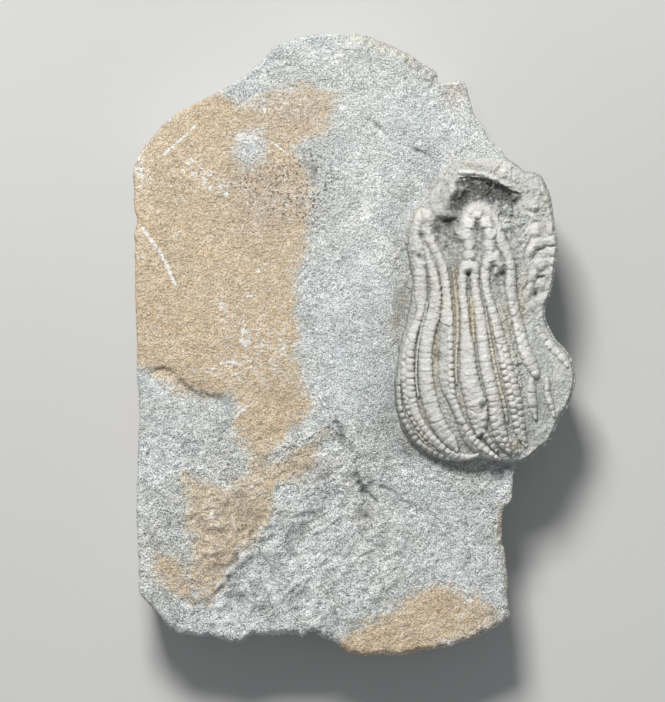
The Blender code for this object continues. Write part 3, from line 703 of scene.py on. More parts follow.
FLECKS = [  # centre, radius, strength
    ((352, 505), 3, 0.5), ((375, 506), 3, 0.5), ((368, 527), 4, 0.45), ((356, 522), 3, 0.5), ((377, 519), 2.6, 0.45),
    ((366, 498), 3, 0.45), ((344, 536), 4, 0.35), ((238, 136), 3, 0.6), ((246, 134), 3, 0.5), ((250, 160), 4, 0.4),
    ((192, 161), 3, 0.5), ((201, 168), 2.6, 0.45), ((196, 176), 3, 0.4), ((209, 187), 3, 0.4), ((226, 194), 3.6, 0.5),
    ((184, 172), 3, 0.4), ((240, 138), 5, 0.6), ((252, 137), 5, 0.55), ((246, 156), 6, 0.4), ((136, 150), 6, 0.6),
    ((222, 306), 5, 0.4), ((244, 330), 5, 0.45), ((248, 343), 5, 0.5), ((262, 345), 4, 0.4), ((284, 348), 4, 0.45),
    ((264, 110), 3.4, 0.65), ((291, 111), 1.6, 0.8), ((298, 115), 1.6, 0.6), ((222, 190), 4.2, 0.5),
    ((228, 185), 2.4, 0.5), ((189, 164), 3.0, 0.5), ((194, 172), 2.6, 0.4), ((187, 177), 3.0, 0.4),
    ((205, 181), 3.4, 0.45), ((214, 180), 3.0, 0.4), ((136.5, 158), 5.5, 0.6), ((139, 171), 5.5, 0.45),
    ((141, 186), 4.5, 0.35), ((220, 303), 2.6, 0.4), ((243, 341), 3.2, 0.5), ((206, 343), 2.0, 0.55),
    ((212, 350), 2.2, 0.5), ((279, 339), 2.4, 0.5), ((252, 367), 2.2, 0.5), ((291, 301), 2.2, 0.7),
    ((259, 272), 1.8, 0.6), ((213, 516), 3.0, 0.75), ((212, 524), 1.8, 0.7), ((141, 531), 2.6, 0.8),
    ((189, 577), 2.6, 0.5), ((468, 592), 3.0, 0.7), ((469, 602), 3.4, 0.65), ((462, 615), 2.4, 0.7),
    ((450, 643), 3.8, 0.8), ((258, 457), 2.0, 0.6), ((251, 487), 1.8, 0.6), ((341, 56), 4.0, 0.45),
    ((336, 62), 3.0, 0.4), ((341, 105), 2.8, 0.5), ((343, 122), 2.2, 0.55), ((365, 212), 7.5, 0.4),
    ((354, 218), 5.0, 0.4), ((372, 206), 4.0, 0.4), ((361, 217), 4, 0.6), ((368, 216), 4.6, 0.6), ((378, 181), 3.6, 0.5),
    ((414, 180), 5, 0.4), ((404, 187), 4, 0.35), ((350, 192), 2.4, 0.4), ((337, 56), 4, 0.5), ((343, 108), 3, 0.5),
    ((385, 66), 2.0, 0.5), ((396, 96), 2.4, 0.4), ((330, 250), 3.4, 0.35), ((345, 300), 4, 0.3), ((322, 290), 3, 0.35),
    ((312, 262), 3, 0.35), ((358, 350), 4, 0.3), ((338, 372), 4, 0.3), ((150, 430), 4, 0.35), ((172, 452), 4, 0.3),
    ((160, 490), 4, 0.35), ((196, 620), 4, 0.35), ((250, 628), 4, 0.3), ((330, 600), 5, 0.35), ((318, 588), 5, 0.35),
    ((345, 566), 5, 0.35), ((372, 548), 5, 0.35), ((356, 556), 4, 0.4), ((380, 500), 3, 0.35), ((420, 480), 3, 0.3), ((432, 102), 5.0, 0.4), ((448, 86), 3.0, 0.3),
]
FLAKES = [  # where white chips and short strokes lie: centre, reaches, turn, strength
    (206, 178, 28, 9, 20, 0.9), (247, 146, 11, 13, 0, 1.0), (140, 168, 7, 24, 0, 0.8), (226, 322, 11, 26, -10, 0.7),
    (264, 345, 46, 34, 0, 0.55), (226, 372, 30, 8, 0, 0.9), (262, 368, 22, 9, 0, 0.8), (311, 388, 12, 26, -12, 0.9),
    (236, 402, 10, 9, 0, 0.7), (333, 54, 14, 12, 0, 0.8), (384, 70, 8, 9, 0, 0.8), (362, 216, 13, 11, 0, 1.0),
    (371, 186, 10, 13, 0, 0.7), (415, 182, 9, 8, 0, 0.8), (352, 282, 18, 50, 0, 0.35), (461, 566, 14, 46, 0, 0.5),
    (192, 566, 8, 14, 0, 0.6), (361, 512, 16, 12, 0, 0.9), (285, 200, 30, 16, 0, 0.4), (240, 470, 12, 30, 0, 0.4),
    (212, 520, 10, 10, 0, 0.7), (348, 560, 34, 22, -20, 0.5), (452, 645, 12, 8, 0, 0.7), (295, 100, 26, 14, 0, 0.6),
    (170, 430, 30, 40, 0, 0.3), (345, 108, 8, 20, 0, 0.5), (340, 400, 12, 26, 0, 0.5), (300, 620, 60, 18, 0, 0.3),
]
DARKS = [  # dark marks and painted shade: centre, reaches, turn, strength. The entries along step_left, beside the crown and at its lower-left are painted shade; the rest are dark cracks and marks.
    ((217, 396), (9, 2.6), 5, 0.42), ((190, 388), (9, 1.6), 35, 0.42), ((198, 383), (7, 1.3), 15, 0.32), ((181, 379), (6, 1.4), 30, 0.36), ((165, 369), (14, 1.4), 0, 0.42), ((226, 401), (5, 1.4), 10, 0.3),
    ((362, 514), (12, 8), -20, 0.52), ((361, 488), (2, 9), -20, 0.75), ((356, 508), (4, 3), 0, 0.3), ((370, 518), (4, 3), 10, 0.3), ((312, 515), (10, 7), 0, 0.16), ((340, 428), (2.4, 12), -20, 0.45),
    ((290, 600), (12, 4), -10, 0.22), ((320, 596), (8, 5), 0, 0.16), ((366, 489), (7, 4), 20, 0.5), ((356, 474), (3, 5), 0, 0.5),
    ((257, 607), (17, 3.6), -6, 0.30), ((284, 556), (10, 4.6), -30, 0.30), ((391, 412), (9, 34), 4, 0.34),
    ((404, 448), (14, 9), 42, 0.35), ((431, 184), (8, 22), 40, 0.17), ((314, 172), (3.6, 7.5), 0, 0.55),
    ((306, 150), (5, 3), 0, 0.35), ((300, 204), (4, 8), 0, 0.3), ((421, 151.6), (9, 2.0), 24, 0.6),
    ((377, 125), (10, 2.0), 42, 0.55), ((358, 173), (3, 1.2), 0, 0.5), ((292, 84.5), (5, 1.1), 18, 0.55),
    ((418, 504), (12, 2.0), 15, 0.35), ((391, 490), (12, 2.0), 25, 0.3), ((340, 440), (6, 9), -25, 0.3),
    ((322, 424), (12, 2.0), -28, 0.3), ((400, 305), (6, 18), 0, 0.22), ((240, 596), (8, 5), 0, 0.2),
    ((300, 420), (5, 3), 0, 0.18), ((273, 610), (14, 5), 0, 0.1),
]


SHADES = [  # painted shade at broad places: centre, reaches, turn, strength; beside the crown, under its bottom edge and below the step_left scarp, with a few darker patches of the plate.
    (409, 300, 4, 34, 0, 0.22), (401, 302, 6, 20, 6, 0.22), (408, 245, 3, 24, 0, 0.2), (408, 197, 6, 13, 32, 0.18), (407, 287, 4, 13, 0, 0.26), (313, 172, 14, 26, 0, 0.12), (394, 275, 11, 30, 14, 0.10),
    (188, 386, 15, 4, 25, 0.14), (214, 395, 16, 4, 10, 0.16), (402, 235, 8, 34, 4, 0.14), (403, 300, 9, 40, 0, 0.20), (399, 352, 6, 28, 4, 0.30), (404, 448, 11, 8, 40, 0.16),
    (424, 460, 13, 5, 20, 0.30), (450, 468, 20, 3.5, 0, 0.22), (400, 436, 6, 12, -30, 0.30), (512, 466, 12, 4, 0, 0.25),
    (362, 514, 11, 8, -15, 0.16), (330, 430, 18, 10, -30, 0.10), (220, 560, 30, 40, 20, 0.07), (205, 392, 26, 5, 12, 0.14),
    (190, 384, 12, 5, 35, 0.16), (258, 607, 18, 5, -6, 0.16), (392, 250, 10, 50, 0, 0.05),
]


BROAD = [  # broad lighter (+) and duller (-) places of the plate: centre, reaches, turn, amount. The duller ones at the crown's left and lower-left foot are painted shade.
    (320, 186, 18, 18, 0, 0.07), (352, 452, 13, 15, 0, 0.16), (344, 519, 26, 13, -20, 0.11), (232, 562, 16, 26, 0, 0.09),
    (290, 547, 15, 8, -32, -0.20), (312, 604, 26, 10, 0, 0.15), (202, 606, 13, 11, 0, -0.14), (230, 607, 12, 8, 0, -0.08),
    (410, 95, 14, 12, 0, 0.08), (405, 452, 12, 12, 0, -0.10), (272, 388, 42, 30, 0, -0.08), (362, 376, 24, 28, 0, -0.07),
    (388, 534, 20, 22, 0, -0.06), (142, 200, 8, 70, 0, 0.07), (142, 430, 8, 16, 0, 0.06), (350, 425, 12, 8, 0, 0.06),
    (260, 455, 14, 12, 0, -0.08), (394, 410, 10, 30, 0, -0.07), (345, 250, 30, 40, 0, 0.03), (322, 248, 12, 18, 0, 0.06),
    (326, 305, 14, 20, 0, 0.06), (300, 155, 12, 10, 0, 0.08), (200, 460, 14, 14, 0, -0.05), (465, 515, 22, 26, 0, 0.07),
    (430, 540, 20, 16, 0, -0.05), (200, 425, 16, 10, 0, -0.06), (260, 575, 20, 10, -30, 0.06), (262, 600, 14, 6, 0, -0.05),
]


def fields(u, v, wall):
    """Everything the stone's shader needs at plan points; wall is 0 on top and 1 on the sides and back."""
    out = {}
    su = u + 3.0 * noise(u / 9, v / 9, 61)
    sv = v + 3.0 * noise(u / 9, v / 9, 62)
    brown = np.maximum(signed(su, sv, BROWN_MAIN), np.maximum(signed(su, sv, BROWN_LITTLE),
                                                              signed(su, sv, BROWN_RIGHT)))
    isle = signed(su + 3 * noise(u / 14, v / 14, 70), sv, GREY_ISLE)
    brown = np.minimum(brown, -isle * 0.62 + 1.2)
    lump = 9 * fbm(u / 60, v / 60, 3, 63) * wall
    brown = np.where(wall > 0, np.minimum(brown, 12) * (1 - wall) + wall * (-14 + 3 * lump), brown)
    out["brown"] = np.clip(brown, -40, 40)
    pink = bump(u, v, 300, 112, 60, 26) + bump(u, v, 268, 200, 42, 40) + 0.3 * bump(u, v, 205, 520, 50, 60)
    out["pinkish"] = np.clip(pink, 0, 1)
    mark = np.zeros(u.shape)
    for path, wide, power in SCRATCHES:
        d, _, share = to_line(u, v, path)
        ends = ease(share / 0.08) * ease((1 - share) / 0.08)
        broken = ease(0.75 + 0.9 * noise(u / 2.6, v / 2.6, 64))
        mark = np.maximum(mark, min(1.0, 1.35 * power) * broken * np.exp(-(d / (1.12 * wide)) ** 2) * (0.35 + 0.65 * ends))
    for (cu, cv), r, power in FLECKS:
        d = np.hypot(u - cu, v - cv) + 1.1 * r * noise(u / 4.4, v / 4.4, 65) + 2.6 * noise(u / 2.2, v / 2.2, 69)
        mark = np.maximum(mark, min(1.0, 1.25 * power) * ease((0.85 * r - d) / (0.9 + 0.35 * r) + 0.2))
    out["mark"] = mark * (1 - wall)
    flake = np.zeros(u.shape)
    for cu, cv, ru, rv, turn, power in FLAKES:
        flake = np.maximum(flake, power * bump(u, v, cu, cv, ru, rv, turn))
    out["flake"] = np.clip(1.25 * flake + 0.10, 0, 0.9) * (1 - wall)
    out["pale"] = np.zeros(u.shape)
    dark = np.zeros(u.shape)
    for (cu, cv), (ru, rv), turn, power in DARKS:
        dark = 1 - (1 - dark) * (1 - power * bump(u, v, cu, cv, ru, rv, turn))
    # Darkening along the scarp and crack lines: dark cracks, and painted shadow below the scarps and, on under, below
    # the crown's bottom edge.
    for line, wide, power in (("d7", 2.2, 0.12), ("d6", 1.6, 0.16), ("d8", 3.4, 0.34), ("d2", 0.9, 0.5),
                              ("d3", 1.0, 0.4), ("step_left", 2.4, 0.24), ("d9", 1.0, 0.22), ("d10", 1.0, 0.2),
                              ("d11", 1.2, 0.2), ("under", 1.0, 0.3), ("d4", 1.4, 0.4), ("d5", 1.4, 0.4), ("d8", 1.3, 0.55), ("d12", 1.7, 0.85), ("d13", 1.3, 0.6), ("d7", 1.3, 0.3)):
        bent_u, bent_v = u + 1.6 * noise(u / 5, v / 5, 167), v + 1.6 * noise(u / 5, v / 5, 168)
        d, _, share = to_line(bent_u, bent_v, LINES[line])
        broken = ease(0.35 + 1.3 * noise(u / 3.5, v / 3.5, 66))
        dark = 1 - (1 - dark) * (1 - power * broken * np.exp(-(d / wide) ** 2))
    crest, here = ridge_field(u, v)
    # Painted shade in the troughs of the plumose ridges.
    dark = 1 - (1 - dark) * (1 - 0.30 * here * ease((-crest + 0.02) / 0.4))
    blot = fbm(u / 15, v / 15, 3, 171)
    dark = 1 - (1 - dark) * (1 - 0.16 * ease((blot - 0.05) / 0.4) * ease((v - 385) / 50) * (1 - 0.5 * ease((u - 372) / 24)))
    # Paler places: painted highlight on the ridge crests, pale mottling, and a pale band beside the layer edge.
    crest_light_and_pale = here * ease((crest - 0.08) / 0.35) * ease(0.4 + 1.4 * noise(u / 5, v / 5, 172)) * 0.62
    quiet = 1 - 0.65 * ease((u - 372) / 24) * ease((v - 440) / 30)
    crest_light_and_pale = crest_light_and_pale + 0.30 * ease((-blot - 0.10) / 0.3) * ease((v - 385) / 50) * (1 - ease((brown + 2) / 6)) * quiet
    crest_light_and_pale = crest_light_and_pale + 0.22 * ease((-blot - 0.05) / 0.35) * (1 - ease((brown + 2) / 6)) * ease((385 - v) / 60)
    seam = to_line(u + 2.2, v - 0.6 + 1.6 * noise(u / 6, v / 6, 180), LINES["layer"])[0]
    crest_light_and_pale = crest_light_and_pale + 0.42 * np.exp(-(seam / 2.6) ** 2) * ease(0.7 + 1.1 * noise(u / 4, v / 4, 181))
    out["pale"] = np.maximum(out["pale"], crest_light_and_pale * (1 - wall))
    # Painted shade at the broad places listed above.
    for cu, cv, ru, rv, turn, power in SHADES:
        dark = 1 - (1 - dark) * (1 - power * bump(u, v, cu, cv, ru, rv, turn) * (0.85 + 0.4 * noise(u / 5, v / 5, 173)))
    out["dark"] = np.clip(dark, 0, 0.9) * (1 - 0.8 * wall)
    speck = bump(u, v, 278, 186, 34, 28) * 1.2 + 1.6 * bump(u, v, 317, 178, 19, 32) + 0.5 * bump(u, v, 314, 220, 10, 24) + 0.7 * bump(u, v, 250, 186, 28, 10)
    speck = speck + 0.6 * bump(u, v, 290, 208, 22, 14)
    band = to_line(u, v, LINES["d8"])[0]
    speck = speck + 0.4 * bump(u, v, 332, 432, 18, 14, -25)
    speck = speck + 0.5 * np.exp(-(band / 7) ** 2) + 0.45 * bump(u, v, 362, 514, 12, 9) + 0.25 * bump(u, v, 335, 440, 12, 16)
    out["speck"] = np.clip(speck, 0, 1) * (1 - wall)
    lay = to_line(u, v, LINES["layer"])[0]
    low = to_line(u, v, LINES["layer_low"])[0]
    ochre = 0.55 * np.exp(-(lay / 2.6) ** 2) * (0.8 + 0.9 * noise(u / 3.4, v / 3.4, 182)) + 0.15 * np.exp(-(low / 1.6) ** 2)
    ochre = ochre + 0.22 * bump(u, v, 215, 500, 40, 60) * (0.7 + 0.6 * noise(u / 12, v / 12, 184))
    ochre = ochre + 0.35 * bump(u, v, 165, 180, 40, 55, 30) * (0.7 + 0.6 * noise(u / 20, v / 20, 176))
    ochre = ochre + 0.75 * bump(u, v, 402, 303, 8, 24, 6) * (0.8 + 0.9 * noise(u / 4, v / 4, 179)) + 0.3 * bump(u, v, 396, 330, 8, 16)
    ne = ease((u - 340) / 20) * ease((441 - u) / 10) * ease((95 - v) / 14)
    edge = to_line(u, v, OUTLINE, closed=True)[0]
    ochre = ochre + 0.55 * ne * ease((14 - edge) / 10) * (0.7 + 0.5 * noise(u / 9, v / 9, 67))
    ochre = ochre + 0.35 * ease((v - 480) / 20) * ease((u - 470) / 20) * ease((7 - edge) / 3)
    ochre = ochre + 0.8 * bump(u, v, 500.5, 525, 2.8, 16)
    ochre = ochre + 0.35 * bump(u, v, 230, 641, 16, 3)
    for cu, cv, ru, rv, power in ((456, 330, 2.6, 52, 0.8), (470, 322, 3.4, 24, 0.85), (489.5, 352, 3.4, 30, 0.6),
                                  (496, 388, 3.4, 22, 0.6), (503, 404, 4, 10, 0.5), (513, 447, 9, 8, 0.75),
                                  (435.5, 352, 3, 36, 0.7), (505, 318, 8, 26, 0.45), (522, 292, 9, 18, 0.5),
                                  (420, 440, 16, 12, 0.5), (480, 230, 5, 12, 0.35), (535, 212, 10, 12, 0.15)):
        ochre = ochre + power * bump(u, v, cu, cv, ru, rv)
    ochre = ochre + 0.12 * nodule_share(u, v)[0]
    out["ochre"] = np.clip(ochre, 0, 0.9) * (1 - 0.75 * wall)
    warm = 0.75 * bump(u, v, 455, 90, 14, 14) + 0.3 * bump(u, v, 152, 545, 10, 22)
    warm = warm + 0.35 * bump(u, v, 315, 470, 26, 18) + 0.12 * bump(u, v, 480, 520, 40, 60)
    out["warm"] = np.clip(warm, 0, 0.9) * (1 - wall)
    bare = 1 - ease((brown + 4) / 10)
    out["coarse"] = np.clip((bare * (0.42 + 0.40 * ease((v - 390) / 60)) + 0.25 * ease((v - 400) / 60)) * (0.55 + 0.45 * quiet), 0, 1)
    # Broad lighter and darker mottling, the duller matrix of the nodule, and painted shade just inside the nodule's
    # foot.
    share, d_in = nodule_share(u, v)
    low = ease((v - 385) / 60)
    tone = 1.05 + 0.05 * fbm(u / 55, v / 55, 3, 68) - 0.20 * share
    tone = tone + (0.14 + 0.07 * low) * fbm(u / 22, v / 22, 3, 174) * (0.4 + 0.6 * bare) + 0.06 * noise(u / 7, v / 7, 175) * (0.4 + 0.6 * bare)
    tone = tone + 0.11 * noise(u / 50, v / 50, 177) * bare
    lobe = ease((u - 536) / 12) * ease((v - 315) / 20) * ease((455 - v) / 30)
    tone = tone + 0.10 * lobe * share
    tone = tone + 0.05 * bump(u, v, 400, 110, 70, 50)
    for cu, cv, ru, rv, turn, amount in BROAD:
        tone = tone + amount * bump(u, v, cu, cv, ru, rv, turn) * (1 + 0.8 * noise(u / 8, v / 8, 183))
    # Painted shade just inside the nodule's foot.
    tone = tone - 0.22 * ease((6 - np.abs(d_in)) / 6) * ease((d_in + 1) / 2) * share
    out["tone"] = np.clip(tone - 0.12 * wall, 0.4, 1.3)
    return out


# ------------------------------------------------------------------ the stone


def fine_outline():
    ring, at = spline(OUTLINE, 2.0, closed=True)
    way = np.roll(ring, -2, 0) - np.roll(ring, 2, 0)
    way /= np.linalg.norm(way, axis=1)[:, None]
    out = np.stack([way[:, 1], -way[:, 0]], axis=1)  # clockwise seen with v down: this points out
    chips = 0.55 * fbm(at / 17, 0.5, 3, 71) + 0.35 * noise(at / 4.5, 0.5, 72)
    ring = ring + out * chips[:, None]
    return ring


def hexes(u0, u1, v0, v1, step, seed):
    rows = np.arange(v0, v1, step * 0.866)
    cols = np.arange(u0, u1, step)
    uu, vv = np.meshgrid(cols, rows)
    uu = uu + (np.arange(len(rows)) % 2)[:, None] * step / 2
    pts = np.stack([uu.ravel(), vv.ravel()], axis=1)
    jit = np.random.default_rng(seed).uniform(-0.22, 0.22, pts.shape) * step
    return pts + jit


def in_crown(p):
    """Where the crown's own pieces cover the stone."""
    d = np.minimum(signed(p[:, 0], p[:, 1], FOOT), signed(p[:, 0], p[:, 1], OUTLINE) - 3.5)
    return d > 4.0


def build_stone(mat):
    ring = fine_outline()
    count = len(ring)
    coarse_step, fine_step = (1.86, 4.5)
    pts = hexes(128, 580, 28, 662, coarse_step, 5)
    pts = pts[~in_crown(pts)]
    extra = hexes(396, 580, 150, 472, fine_step, 6)
    extra = extra[in_crown(extra)]
    marks = []
    for path, wide, _ in SCRATCHES:
        line, _ = spline(path, 1.3)
        way = np.gradient(line, axis=0)
        way /= np.linalg.norm(way, axis=1)[:, None]
        side = np.stack([-way[:, 1], way[:, 0]], axis=1)
        for off in (-1.8, -0.9, 0.0, 0.9, 1.8):
            marks.append(line + side * off)
    for name in ("layer", "layer_low", "d7", "d6", "d5", "step_left", "d8", "d2"):
        line, _ = spline(LINES[name], 1.5)
        way = np.gradient(line, axis=0)
        way /= np.linalg.norm(way, axis=1)[:, None]
        side = np.stack([-way[:, 1], way[:, 0]], axis=1)
        for off in (-2.2, -0.8, 0.8, 2.2):
            marks.append(line + side * off)
    for (cu, cv), r, _ in FLECKS:
        g = hexes(cu - r - 2, cu + r + 2, cv - r - 2, cv + r + 2, 1.35, 7)
        marks.append(g[np.hypot(g[:, 0] - cu, g[:, 1] - cv) < r + 1.5])
    band, _ = spline(FOOT[:-2], 1.3)
    way = np.gradient(band, axis=0)
    way /= np.linalg.norm(way, axis=1)[:, None]
    side = np.stack([-way[:, 1], way[:, 0]], axis=1)
    for off in (-3.4, -2.2, -1.0, 0.2, 1.4, 2.6):
        marks.append(band + side * off)
    marks = np.vstack(marks)
    pts = np.vstack([marks, extra, pts])
    pts = pts[inside(pts[:, 0], pts[:, 1], ring)]
    d = to_line(pts[:, 0], pts[:, 1], ring, closed=True)[0]
    pts = pts[d > 1.0]
    # Drop points that crowd an earlier one.
    key = np.round(pts / 0.8).astype(int)
    _, first = np.unique(key, axis=0, return_index=True)
    pts = pts[np.sort(first)]
    every = np.vstack([ring, pts])
    edges = [(i, (i + 1) % count) for i in range(count)]
    flat, _, tris, *_ = delaunay_2d_cdt([Vector(p) for p in every], edges, [], 1, 1e-5)
    flat = np.array([tuple(p) for p in flat])
    tris = np.array([list(t) for t in tris if len(t) == 3], np.int32)
    if len(flat) != len(every):
        print("note: the stone's top lost", len(every) - len(flat), "points")
    u, v = flat[:, 0], flat[:, 1]
    d = to_line(u, v, ring, closed=True)[0]
    d[:count] = 0
    z = relief(u, v) - bevel(u, v, d)
    # Under the crown's own pieces the stone lies lower.
    under_crown = np.minimum(nodule_share(u, v)[1] - 0.2, d - 2.0)
    z = z - (1.1 + edge_fill(u, v, nodule_share(u, v)[1])) * ease(under_crown / 2.4)
    top = place(flat, z)
    wall0 = np.zeros(len(flat))
    # Walls: rings that go down, broken back from the outline by ledges and fractures.
    soft = ring.copy()
    for _ in range(14):
        soft = (np.roll(soft, 1, 0) + soft * 2 + np.roll(soft, -1, 0)) / 4
    way = np.roll(soft, -2, 0) - np.roll(soft, 2, 0)
    way /= np.linalg.norm(way, axis=1)[:, None]
    inward = np.stack([-way[:, 1], way[:, 0]], axis=1)
    along = np.concatenate([[0], np.cumsum(np.linalg.norm(np.diff(ring, axis=0), axis=1))])
    under = 1.6 + 2.2 * ease((ring[:, 0] - 500) / 40) * ease((480 - ring[:, 1]) / 30)
    levels = 20
    verts, plan, walls = [top], [flat], [wall0]
    faces = [tris]
    last = np.arange(count)
    base = len(flat)
    ze = z[:count]
    turn = along / along[-1] * 2 * math.pi
    # Noise that closes on itself round the wall.
    rx, ry = np.cos(turn) * along[-1] / (2 * math.pi), np.sin(turn) * along[-1] / (2 * math.pi)
    for k in range(1, levels + 1):
        s = k / levels
        zz = ze * (1 - s) + 0.0
        tilt = 8 * noise(rx / 40, ry / 40, 81)
        height = zz + tilt * 0.25
        bed = noise(rx / 60 + height * 0.9, ry / 60 - height * 0.7, 82)
        ledge = 0.30 * np.abs(bed) + 0.45 * np.abs(noise(rx / 22 + height * 0.16, ry / 22 + height * 0.21, 83))
        rough = 0.30 * noise(rx / 5 + height * 0.7, ry / 5 - height * 0.5, 84) + 0.16 * noise(
            rx / 2.2 + height * 1.6, ry / 2.2 + height * 1.3, 85)
        back = under * s**1.6 + (ledge * 1.5 + rough * 0.55) * ease(s / 0.12)
        round_off = 1.1 * np.clip((s - 0.9) / 0.1, 0, 1) ** 2
        p = ring + inward * np.maximum(back + round_off, 0)[:, None] * 5.0
        if k == levels:
            # The lowest edge is eased so that it never crosses itself in a notch.
            for _ in range(40):
                p = (np.roll(p, 1, 0) + p * 2 + np.roll(p, -1, 0)) / 4
        jog = 0.35 * noise(rx / 9, ry / 9, 86 + k) * (0 < k < levels)
        zk = np.where(k == levels, 0.0, np.maximum(zz + jog * ease(s / 0.2) * ease((1 - s) / 0.2), 0.05))
        verts.append(place(p, zk))
        plan.append(p)
        walls.append(np.full(count, min(1.0, s * 8)))
        now = base + np.arange(count)
        nxt = np.roll(np.arange(count), -1)
        faces.append(np.stack([last, now, now[nxt], last[nxt]], axis=1).astype(np.int32))
        last = now
        base += count
    # Back face.
    inner = hexes(128, 580, 28, 662, 7.0, 9)
    low = plan[-1]
    keep = inside(inner[:, 0], inner[:, 1], low)
    inner = inner[keep]
    inner = inner[to_line(inner[:, 0], inner[:, 1], low, closed=True)[0] > 3.0]
    flat2, _, tris2, *_ = delaunay_2d_cdt([Vector(p) for p in np.vstack([low, inner])], edges, [], 1, 1e-5)
    flat2 = np.array([tuple(p) for p in flat2])
    tris2 = np.array([list(t) for t in tris2 if len(t) == 3], np.int32)
    if len(flat2) != count + len(inner):
        print("note: the back lost", count + len(inner) - len(flat2), "points")
    iu, iv = flat2[count:, 0], flat2[count:, 1]
    dd = to_line(iu, iv, low, closed=True)[0]
    zb = np.maximum(0, 0.9 * fbm(iu / 42, iv / 42, 4, 91) + 0.12) * ease(dd / 14)
    verts.append(place(flat2[count:], zb))
    plan.append(flat2[count:])
    walls.append(np.ones(len(iu)))
    remap = np.concatenate([last, base + np.arange(len(iu))])
    faces.append(remap[tris2][:, ::-1])
    verts = np.vstack(verts)
    plan = np.vstack(plan)
    walls = np.concatenate(walls)
    attributes = fields(plan[:, 0], plan[:, 1], walls)
    me = new_mesh("matrix_stone", verts, faces, attributes)
    outward(me)
    print("stone:", sum(len(f) * (f.shape[1] - 2) for f in faces), "triangles")
    return add_piece("matrix_stone", me, mat, ("matrix_slab",))


# ------------------------------------------------------------------ the crown


def ramped(v, spec):
    """A number, or one that changes down the plate as [(v, value), ...]."""
    if isinstance(spec, (int, float)):
        return np.full(np.shape(v), float(spec))
    spec = np.array(spec, float)
    return np.interp(v, spec[:, 0], spec[:, 1])


def blur(a, sigma):
    """A soft blur of a grid, sigma in cells."""
    r = max(1, int(round((math.sqrt(4 * sigma * sigma + 1) - 1) / 2)))
    for axis in (0, 1, 0, 1, 0, 1):
        pad = [(0, 0), (0, 0)]
        pad[axis] = (r + 1, r)
        total = np.pad(a, pad, mode="edge").cumsum(axis)
        n = a.shape[axis]
        hi = np.take(total, np.arange(2 * r + 1, 2 * r + 1 + n), axis)
        lo = np.take(total, np.arange(n), axis)
        a = (hi - lo) / (2 * r + 1)
    return a


